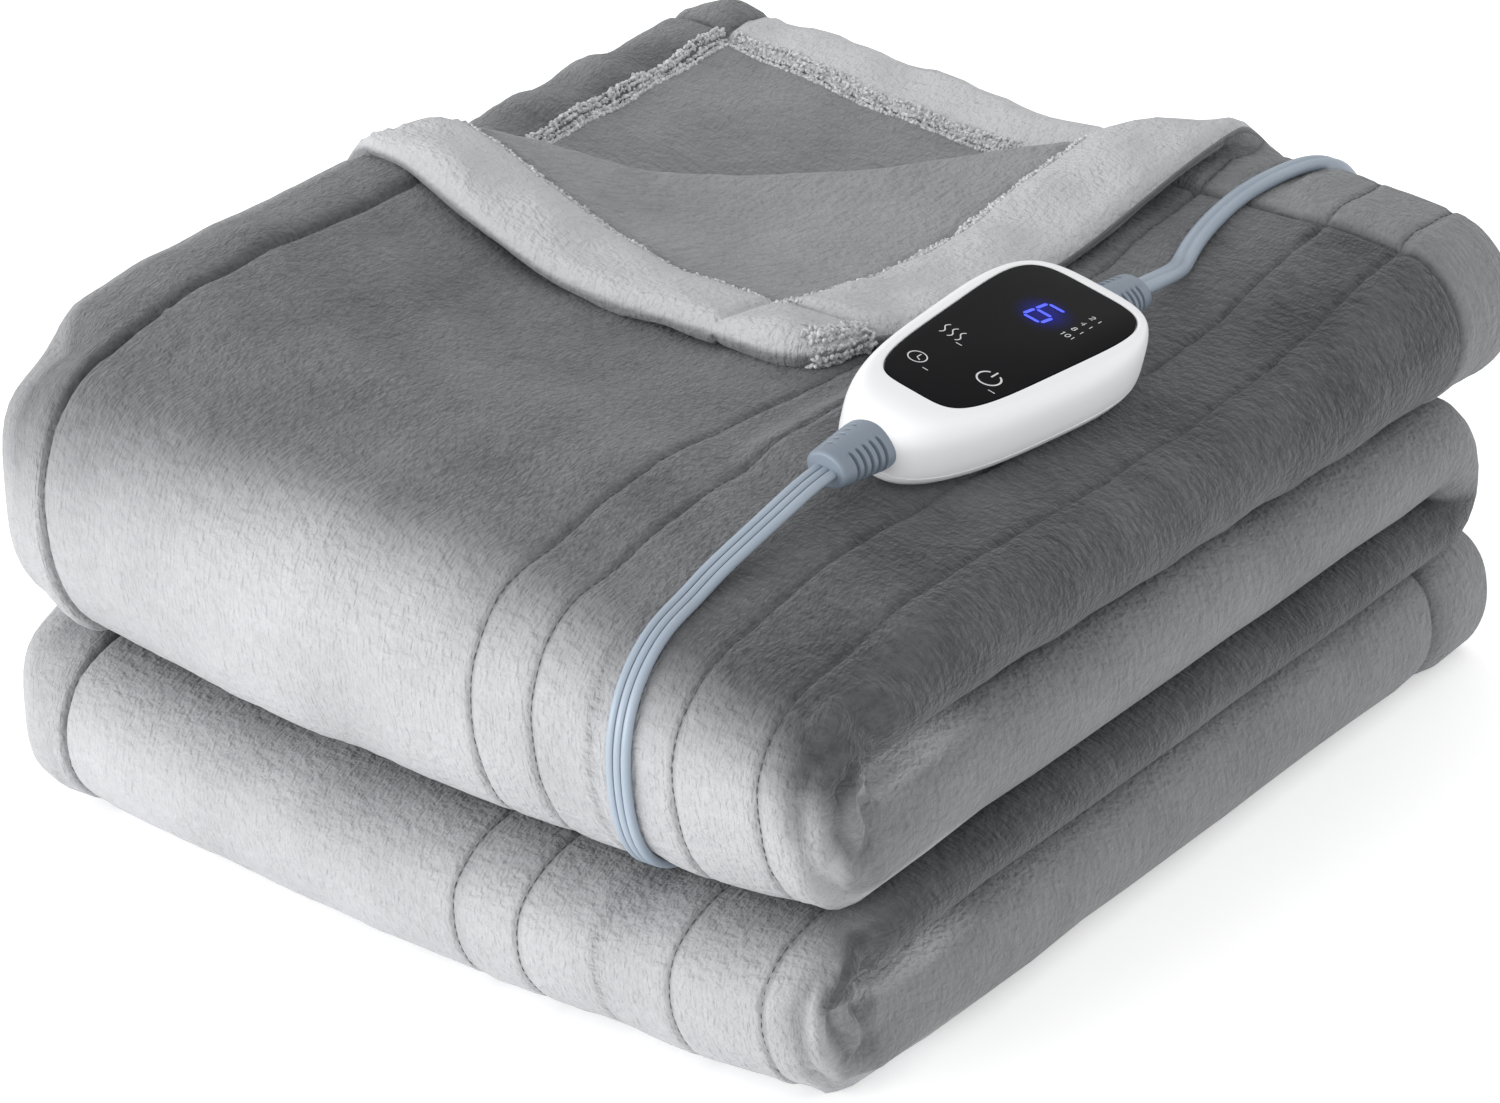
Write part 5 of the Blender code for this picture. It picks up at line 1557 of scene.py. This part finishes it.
# the wave sign for heat
for k in range(3):
    x = -0.0150 + 0.0030 * k
    wave = [(x + 0.00075 * math.sin(2 * math.pi * t), -0.0052 + 0.0058 * t) for t in np.linspace(0, 1, 17)]
    marks.line(wave, PLAIN)
marks.line([(-0.0078, -0.0062), (-0.0058, -0.0062)], THIN)
# the clock for time
marks.arc((-0.0105, -0.0226), 0.0030, 0, 360, PLAIN)
marks.line([(-0.0105, -0.0208), (-0.0105, -0.0228), (-0.0090, -0.0236)], 0.00038)
marks.line([(-0.0058, -0.0262), (-0.0040, -0.0262)], THIN)
# the switch sign
marks.arc((0.0105, -0.0142), 0.0038, 122, 418, BOLD)
marks.line([(0.0105, -0.0128), (0.0105, -0.0096)], BOLD)
marks.line([(0.0142, -0.0196), (0.0164, -0.0196)], THIN)
printed = marks.finish("printed_marks", print_finish)

# %% The lit digit
DIGIT_THICK, DIGIT_SLANT, DIGIT_HEIGHT = 0.00125, 0.14, 0.00008
LIT_SEGMENTS = (  # middle, half its length, and whether it is upright
    ((0, 0.0058), 0.0030, False), ((0, 0), 0.0028, False), ((0, -0.0058), 0.0030, False),
    ((-0.0034, 0.0029), 0.0026, True), ((-0.0034, -0.0029), 0.0026, True), ((0.0034, -0.0029), 0.0026, True),
)


def led_material():
    made, tree, shader = new_material("display_blue", 0.4)
    shader.inputs["Base Color"].default_value = (0.01, 0.01, 0.08, 1.0)
    cells = noise(tree, mapped(tree), 1200.0, 1.0, 0.5)
    blues = blend_colours(tree, cells, (0.030, 0.055, 0.92), (0.060, 0.100, 1.0))
    tree.links.new(blues, shader.inputs["Emission Color"])
    shader.inputs["Emission Strength"].default_value = 1.5
    return made


def segment(strokes, centre, half, thick, upright):
    """A six-sided bar, level or upright, in the digit's own slanted frame."""
    a, t = half, 0.5 * thick
    shape = [(-a, 0), (-a + t, t), (a - t, t), (a, 0), (a - t, -t), (-a + t, -t)]
    if upright:
        shape = [(y, x) for x, y in shape]
    corners = []
    for x, y in shape:
        x, y = x + centre[0], y + centre[1]
        corners.append((LED_AT[0] + x + DIGIT_SLANT * y, LED_AT[1] + y))
    strokes.plate(corners)


lit = Strokes(DIGIT_HEIGHT)
for centre, half, upright in LIT_SEGMENTS:
    segment(lit, centre, half, DIGIT_THICK, upright)
digit = lit.finish("display_digit", led_material())
print("marks:", len(printed.data.polygons), "faces; digit:", len(digit.data.polygons))

# %% [markdown]
# ## The strain reliefs
#
# Each cord leaves the housing through a soft tapered sleeve with finger grooves, which lets it bend without breaking.
# The grooves stop at a spine above and below. Rings set close together at the groove edges give them soft lips.

# %% The two sleeves
SLEEVE_HEIGHT, SLEEVE_ROOT, SLEEVE_TIP = 0.0115, (0.0096, 0.0074), (0.0074, 0.0056)
SLEEVE_SEATED, SLEEVE_LENGTH, SLEEVE_GROOVES = 0.0050, 0.0205, 5
GROOVE_DEPTH, GROOVE_PITCH, FIRST_GROOVE = 0.0020, 0.0030, 0.0018
GROOVE_SHARE, SLEEVE_POINTS, SPINE = 0.48, 72, (62.0, 69.0)  # the spine begins at this steepness, in degrees
GROOVE_EDGE = ((0.0, 0.0), (0.00012, 0.16), (0.00026, 0.75), (0.00045, 1.0))  # along it, and share of the depth
SLEEVE_MOUTH = ((0.0014, 0.0), (0.0006, 0.0002), (0.0001, 0.0007), (0.0, 0.0014))  # before its end, and how far in
sleeve_finish = vinyl_material("sleeve_vinyl", (0.165, 0.202, 0.250), (0.195, 0.234, 0.284))


def sleeve_ring(y, half_size, groove):
    """An oval ring, drawn in by the groove except at the spines above and below."""
    ring = []
    for i in range(SLEEVE_POINTS):
        angle = 2.0 * math.pi * (i + 0.5) / SLEEVE_POINTS
        steep = math.degrees(math.asin(min(1.0, abs(math.sin(angle)))))
        depth = groove * float(1.0 - smoothstep(*SPINE, steep))
        across, up = half_size[0] - depth, half_size[1] - depth
        ring.append((across * math.cos(angle), y, SLEEVE_HEIGHT + up * math.sin(angle)))
    return ring


def make_sleeve(name, end, out):
    places = [(-SLEEVE_SEATED, 0.0, 0.0), (0.0010, 0.0, 0.0)]
    for k in range(SLEEVE_GROOVES):
        start, width = FIRST_GROOVE + GROOVE_PITCH * k, GROOVE_SHARE * GROOVE_PITCH
        places += [(start + along, GROOVE_DEPTH * share, 0.0) for along, share in GROOVE_EDGE]
        places += [(start + width - along, GROOVE_DEPTH * share, 0.0) for along, share in GROOVE_EDGE[::-1]]
    places += [(SLEEVE_LENGTH - before, 0.0, less) for before, less in SLEEVE_MOUTH]
    rings = []
    for reach, groove, less in places:
        share = max(0.0, reach) / SLEEVE_LENGTH
        size = [root + (tip - root) * share - less for root, tip in zip(SLEEVE_ROOT, SLEEVE_TIP)]
        rings.append(sleeve_ring(end + out * reach, size, groove))
    data = ring_mesh(name, rings, sleeve_finish)
    crease_by_angle(data, 60)
    return add_object(name, place_mesh(data, controller_place))


for name, node, end, out in (
    ("lead_sleeve", "lead_strain_relief", HOUSING_FRONT, -1),
    ("mains_sleeve", "mains_strain_relief", HOUSING_BACK, 1),
):
    sleeve = make_sleeve(name, end, out)
    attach(sleeve, "root")
    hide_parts(node)
print("two sleeves made")

# %% [markdown]
# ## Stitches by Geometry Nodes
#
# The sewn lines are rows of short dark stitches sunk in their furrows. A stitch is one small ellipsoid, repeated
# along each line, which is just what Geometry Nodes is good at: the line becomes a curve, the curve is cut into equal
# steps, and a stitch is set on each step and turned along it.

# %% Helpers for node groups
def new_tree(name, inputs):
    """A Geometry Nodes tree with named inputs, and its first and last nodes."""
    tree = bpy.data.node_groups.new(name, "GeometryNodeTree")
    tree.interface.new_socket("Geometry", in_out="INPUT", socket_type="NodeSocketGeometry")
    for label, kind, value in inputs:
        tree.interface.new_socket(label, in_out="INPUT", socket_type=kind).default_value = value
    tree.interface.new_socket("Geometry", in_out="OUTPUT", socket_type="NodeSocketGeometry")
    return tree, tree.nodes.new("NodeGroupInput"), tree.nodes.new("NodeGroupOutput")


def chain(tree, *links):
    for source, target in links:
        tree.links.new(source, target)


def realised(name, source, tree, finish, settings=()):
    """Runs the tree on an object of plain edges, and returns what it makes as a plain mesh object."""
    modifier = source.modifiers.new(tree.name, "NODES")
    modifier.node_group = tree
    for item in tree.interface.items_tree:
        if item.item_type == "SOCKET" and item.in_out == "INPUT" and item.name in dict(settings):
            modifier[item.identifier] = dict(settings)[item.name]
    evaluated = source.evaluated_get(bpy.context.evaluated_depsgraph_get())
    data = bpy.data.meshes.new_from_object(evaluated)
    data.name = name
    source.modifiers.remove(modifier)
    bpy.data.objects.remove(source, do_unlink=True)
    data.materials.clear()
    data.materials.append(finish)
    return add_object(name, data)


def edge_lines(name, lines):
    """An object of plain edges, one line of points after another, with a vector called lift on each point."""
    verts, edges, lifts = [], [], []
    for points, normals in lines:
        start = len(verts)
        verts += [tuple(p) for p in points]
        lifts += [tuple(n) for n in normals]
        edges += [(i, i + 1) for i in range(start, len(verts) - 1)]
    data = bpy.data.meshes.new(name)
    data.from_pydata(verts, edges, [])
    lift = data.attributes.new("lift", "FLOAT_VECTOR", "POINT")
    lift.data.foreach_set("vector", np.array(lifts, np.float32).ravel())
    return add_object(name, data)


# %% The stitch tree
def stitch_tree():
    tree, given, result = new_tree("sewn_stitches", (
        ("Pitch", "NodeSocketFloat", 0.0034), ("Stitch length", "NodeSocketFloat", 0.0024),
        ("Thread", "NodeSocketFloat", 0.00024)))
    curve = tree.nodes.new("GeometryNodeMeshToCurve")
    even = tree.nodes.new("GeometryNodeResampleCurve")
    even.mode = "LENGTH"
    bead = add_node(tree, "GeometryNodeMeshUVSphere", {"Segments": 6, "Rings": 5, "Radius": 1.0})
    half = add_node(tree, "ShaderNodeMath", {1: 0.5}, operation="MULTIPLY")
    size = tree.nodes.new("ShaderNodeCombineXYZ")
    tangent = tree.nodes.new("GeometryNodeInputTangent")
    turn = add_node(tree, "FunctionNodeAlignRotationToVector", axis="X")
    put = tree.nodes.new("GeometryNodeInstanceOnPoints")
    real = tree.nodes.new("GeometryNodeRealizeInstances")
    smooth = tree.nodes.new("GeometryNodeSetShadeSmooth")
    paint = add_node(tree, "GeometryNodeSetMaterial")
    paint.inputs["Material"].default_value = thread_finish
    chain(tree,
          (given.outputs["Geometry"], curve.inputs[0]), (curve.outputs[0], even.inputs["Curve"]),
          (given.outputs["Pitch"], even.inputs["Length"]), (even.outputs[0], put.inputs["Points"]),
          (given.outputs["Stitch length"], half.inputs[0]), (half.outputs[0], size.inputs["X"]),
          (given.outputs["Thread"], size.inputs["Y"]), (given.outputs["Thread"], size.inputs["Z"]),
          (bead.outputs["Mesh"], put.inputs["Instance"]), (tangent.outputs[0], turn.inputs["Vector"]),
          (turn.outputs[0], put.inputs["Rotation"]), (size.outputs[0], put.inputs["Scale"]),
          (put.outputs[0], real.inputs[0]), (real.outputs[0], smooth.inputs[0]), (smooth.outputs[0], paint.inputs[0]),
          (paint.outputs[0], result.inputs[0]))
    return tree


def thread_material():
    made, tree, shader = new_material("thread", 0.8)
    twist = noise(tree, mapped(tree), 1800.0, 2.0, 0.5)
    greys = blend_colours(tree, twist, (0.050, 0.051, 0.055), (0.105, 0.107, 0.112))
    tree.links.new(greys, shader.inputs["Base Color"])
    return made


thread_finish = thread_material()

# %% The sewn lines, and their stitches
LINE_STEP, STITCH_LIFT, PAST_FOLD, FROM_EDGE = 0.003, 0.00010, 0.010, 0.004
CROSS_START, CROSS_END, SECOND_BEFORE, TURNED_TO = 0.090, 0.138, 0.030, 0.075


def top_line(line, first, last):
    """A sewn line along the top ply, from one place along the cloth to another."""
    v = np.arange(first, last, LINE_STEP)
    return cloth_face(sewn_at(line, v), v, lift=STITCH_LIFT)


def cross_line(v, first, last):
    """A sewn line across the top ply."""
    x = np.arange(first, last, LINE_STEP)
    return cloth_face(x, np.full(x.shape, v), lift=STITCH_LIFT)


SECOND_NOSE = LONG_RUN + 2 * TURN + 2 * SHORT_RUN
sewn = []
for line in ((LEFT_HEM + HEM, LEFT_HEM + HEM),) + SEWN_LINES:
    x = line[0]
    # where the corner is turned over, the line begins in front of the roll
    behind = BACK_HEM - (TURN_POINT[1] + math.tan(TURN_ANGLE) * (x - TURN_POINT[0]))
    start = max(FROM_EDGE, behind + FROM_EDGE) if x < TURNED_TO else FROM_EDGE
    sewn.append(top_line(line, start, LONG_RUN + TURN + PAST_FOLD))
    sewn.append(top_line(line, SECOND_NOSE - SECOND_BEFORE, SECOND_NOSE + TURN + PAST_FOLD))
sewn.append(cross_line(HEM, CROSS_START, CROSS_END))
sewn.append(cross_line(CLOTH_LENGTH - HEM, LEFT_HEM + FROM_EDGE, CROSS_END))
stitches = realised("sewn_stitches", edge_lines("sewn_lines", sewn), stitch_tree(), thread_finish)
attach(stitches, "root")
print("stitches:", len(stitches.data.polygons), "faces")

# %% [markdown]
# ## Fluffy seams
#
# On the back of the cloth the hems end in a raised seam where cut pile stands up as a fuzzy ribbon. Rows of tiny
# round clumps, leaning and growing at random from a fixed seed, make that ribbon, again with Geometry Nodes.

# %% The tuft tree
def tuft_tree():
    tree, given, result = new_tree("seam_tufts", (
        ("Pitch", "NodeSocketFloat", 0.0014), ("Height", "NodeSocketFloat", 0.0017),
        ("Width", "NodeSocketFloat", 0.00090), ("Lean", "NodeSocketFloat", 1.2), ("Seed", "NodeSocketInt", 3)))
    curve = tree.nodes.new("GeometryNodeMeshToCurve")
    even = tree.nodes.new("GeometryNodeResampleCurve")
    even.mode = "LENGTH"
    clump = add_node(tree, "GeometryNodeMeshUVSphere", {"Segments": 6, "Rings": 4, "Radius": 1.0})
    lift = add_node(tree, "GeometryNodeInputNamedAttribute", {"Name": "lift"}, data_type="FLOAT_VECTOR")
    turn = add_node(tree, "FunctionNodeAlignRotationToVector", axis="Z")
    lean = add_node(tree, "FunctionNodeRandomValue", data_type="FLOAT_VECTOR")
    tilt = tree.nodes.new("FunctionNodeRotateRotation")
    tilt.rotation_space = "LOCAL"
    euler = tree.nodes.new("FunctionNodeEulerToRotation")
    less = add_node(tree, "ShaderNodeMath", {1: -1.0}, operation="MULTIPLY")
    low, high = tree.nodes.new("ShaderNodeCombineXYZ"), tree.nodes.new("ShaderNodeCombineXYZ")
    low.inputs["Z"].default_value, high.inputs["Z"].default_value = 0.0, 6.283  # a whole turn
    size = tree.nodes.new("ShaderNodeCombineXYZ")
    vary = add_node(tree, "FunctionNodeRandomValue", data_type="FLOAT")
    vary.inputs[2].default_value, vary.inputs[3].default_value = 0.55, 1.35
    scaled = add_node(tree, "ShaderNodeVectorMath", operation="SCALE")
    put = tree.nodes.new("GeometryNodeInstanceOnPoints")
    real = tree.nodes.new("GeometryNodeRealizeInstances")
    smooth = tree.nodes.new("GeometryNodeSetShadeSmooth")
    paint = add_node(tree, "GeometryNodeSetMaterial")
    paint.inputs["Material"].default_value = tuft_finish
    vector_lift = [s for s in lift.outputs if s.enabled and s.name == "Attribute"][0]
    chain(tree,
          (given.outputs["Geometry"], curve.inputs[0]), (curve.outputs[0], even.inputs["Curve"]),
          (given.outputs["Pitch"], even.inputs["Length"]), (even.outputs[0], put.inputs["Points"]),
          (vector_lift, turn.inputs["Vector"]), (turn.outputs[0], tilt.inputs["Rotation"]),
          (given.outputs["Lean"], less.inputs[0]), (less.outputs[0], low.inputs["X"]),
          (less.outputs[0], low.inputs["Y"]), (given.outputs["Lean"], high.inputs["X"]),
          (given.outputs["Lean"], high.inputs["Y"]), (low.outputs[0], lean.inputs[0]),
          (high.outputs[0], lean.inputs[1]), (given.outputs["Seed"], lean.inputs["Seed"]),
          (lean.outputs[0], euler.inputs[0]), (euler.outputs[0], tilt.inputs["Rotate By"]),
          (tilt.outputs[0], put.inputs["Rotation"]), (given.outputs["Width"], size.inputs["X"]),
          (given.outputs["Width"], size.inputs["Y"]), (given.outputs["Height"], size.inputs["Z"]),
          (size.outputs[0], scaled.inputs[0]), (given.outputs["Seed"], vary.inputs["Seed"]),
          (vary.outputs[1], scaled.inputs["Scale"]),
          (scaled.outputs[0], put.inputs["Scale"]), (clump.outputs["Mesh"], put.inputs["Instance"]),
          (put.outputs[0], real.inputs[0]), (real.outputs[0], smooth.inputs[0]), (smooth.outputs[0], paint.inputs[0]),
          (paint.outputs[0], result.inputs[0]))
    return tree


def tuft_material():
    made, tree, shader = new_material("cut_pile", 0.95)
    fibres = spread_range(tree, noise(tree, mapped(tree), 800.0, 3.0, 0.6), 0.35, 0.65, 0.0, 1.0)
    greys = blend_colours(tree, fibres, (0.270, 0.275, 0.283), (0.700, 0.706, 0.716))
    tree.links.new(greys, shader.inputs["Base Color"])
    shader.inputs["Sheen Weight"].default_value = 0.3
    return made


tuft_finish = tuft_material()


def seam_rows(fixed, first, last, along_v, ply, side, offsets):
    """Lines for the clumps beside a seam, along the cloth or across it."""
    rows = []
    for away in offsets:
        t = np.arange(first, last, LINE_STEP)
        still = np.full(t.shape, fixed + away)
        rows.append(cloth_face(still, t, side, ply) if along_v else cloth_face(t, still, side, ply))
    return rows


# %% Lay the clumps along the seams
# the ply under the turned corner: a broad ribbon of cut pile along its left and back hems
wide, narrow = (-0.0030, -0.0017, -0.0004, 0.0009, 0.0022), (-0.0018, -0.0004, 0.0010)
rows = seam_rows(INNER_HEM + REVERSE_HEM, REVERSE_HEM, 0.250, True, 3.0, 0.0, wide)
rows += seam_rows(REVERSE_HEM, INNER_HEM + REVERSE_HEM, 0.110, False, 3.0, 0.0, wide)
# cut pile at the open end of the hem, at the very corner
rows += seam_rows(0.0, LEFT_HEM + 0.004, LEFT_HEM + 0.032, False, 0.0, 0.0, (0.0002, 0.0014, 0.0027, 0.0040, 0.0054))
rows += seam_rows(0.0, LEFT_HEM + 0.004, LEFT_HEM + 0.032, False, 0.0, 1.0, (0.0002, 0.0012, 0.0023))
ribbon = realised("seam_tufts", edge_lines("seam_lines", rows), tuft_tree(), tuft_finish)
# the turned corner itself: the same seams on the top ply's back, only a thin fringe
rows = seam_rows(LEFT_HEM + REVERSE_HEM, REVERSE_HEM, 0.215, True, 0.0, 0.0, narrow)
rows += seam_rows(HEM, LEFT_HEM + REVERSE_HEM, 0.040, False, 0.0, 0.0, narrow)
fringe = realised("fringe_tufts", edge_lines("fringe_lines", rows), tuft_tree(), tuft_finish,
                  (("Pitch", 0.0013), ("Height", 0.0012), ("Width", 0.00065), ("Seed", 8)))
for piece in (ribbon, fringe):
    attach(piece, "root")
    print(piece.name, len(piece.data.polygons), "faces")

# %% [markdown]
# ## Floor, light and background
#
# A product photograph like this is taken on white with large soft lights. A bright even surround fills every side,
# and one large soft lamp low in front, to the left, makes the front folds pale and keeps the top darker.

# %% The stage
FLOOR_HALF, FLOOR_Z, FLOOR_GLOW, WORLD_LIGHT = 6, -0.0004, 0.36, 0.95


def floor_material():
    made, tree, shader = new_material("pale_floor", 0.85)
    shader.inputs["Base Color"].default_value = (0.93, 0.93, 0.93, 1.0)
    shader.inputs["Specular IOR Level"].default_value = 0.1
    shader.inputs["Emission Color"].default_value = (1.0, 1.0, 1.0, 1.0)
    shader.inputs["Emission Strength"].default_value = FLOOR_GLOW
    return made


floor_data = bpy.data.meshes.new("floor")
corners = [(FLOOR_HALF * a, FLOOR_HALF * b, FLOOR_Z) for a, b in ((-1, -1), (1, -1), (1, 1), (-1, 1))]
floor_data.from_pydata(corners, [], [(0, 1, 2, 3)])
floor_data.materials.append(floor_material())
floor = add_object("floor", floor_data)

world = bpy.data.worlds.new("white_studio")
world.use_nodes = True
world.node_tree.nodes["Background"].inputs["Color"].default_value = (1.0, 1.0, 1.0, 1.0)
world.node_tree.nodes["Background"].inputs["Strength"].default_value = WORLD_LIGHT
bpy.context.scene.world = world


def soft_light(name, place, target, size, power):
    """A large white lamp at a place, turned to its target."""
    lamp = bpy.data.lights.new(name, "AREA")
    lamp.shape, lamp.size, lamp.size_y = "RECTANGLE", size[0], size[1]
    lamp.energy = power
    made = bpy.data.objects.new(name, lamp)
    made.location = place
    made.rotation_euler = (Vector(target) - Vector(place)).to_track_quat("-Z", "Y").to_euler()
    bpy.context.scene.collection.objects.link(made)
    return made


soft_light("front_light", place=(-0.75, -1.75, 0.42), target=(0.0, 0.0, 0.07), size=(1.5, 0.7), power=26.0)
bpy.context.scene.view_settings.view_transform = "Standard"
print("stage and lights set")
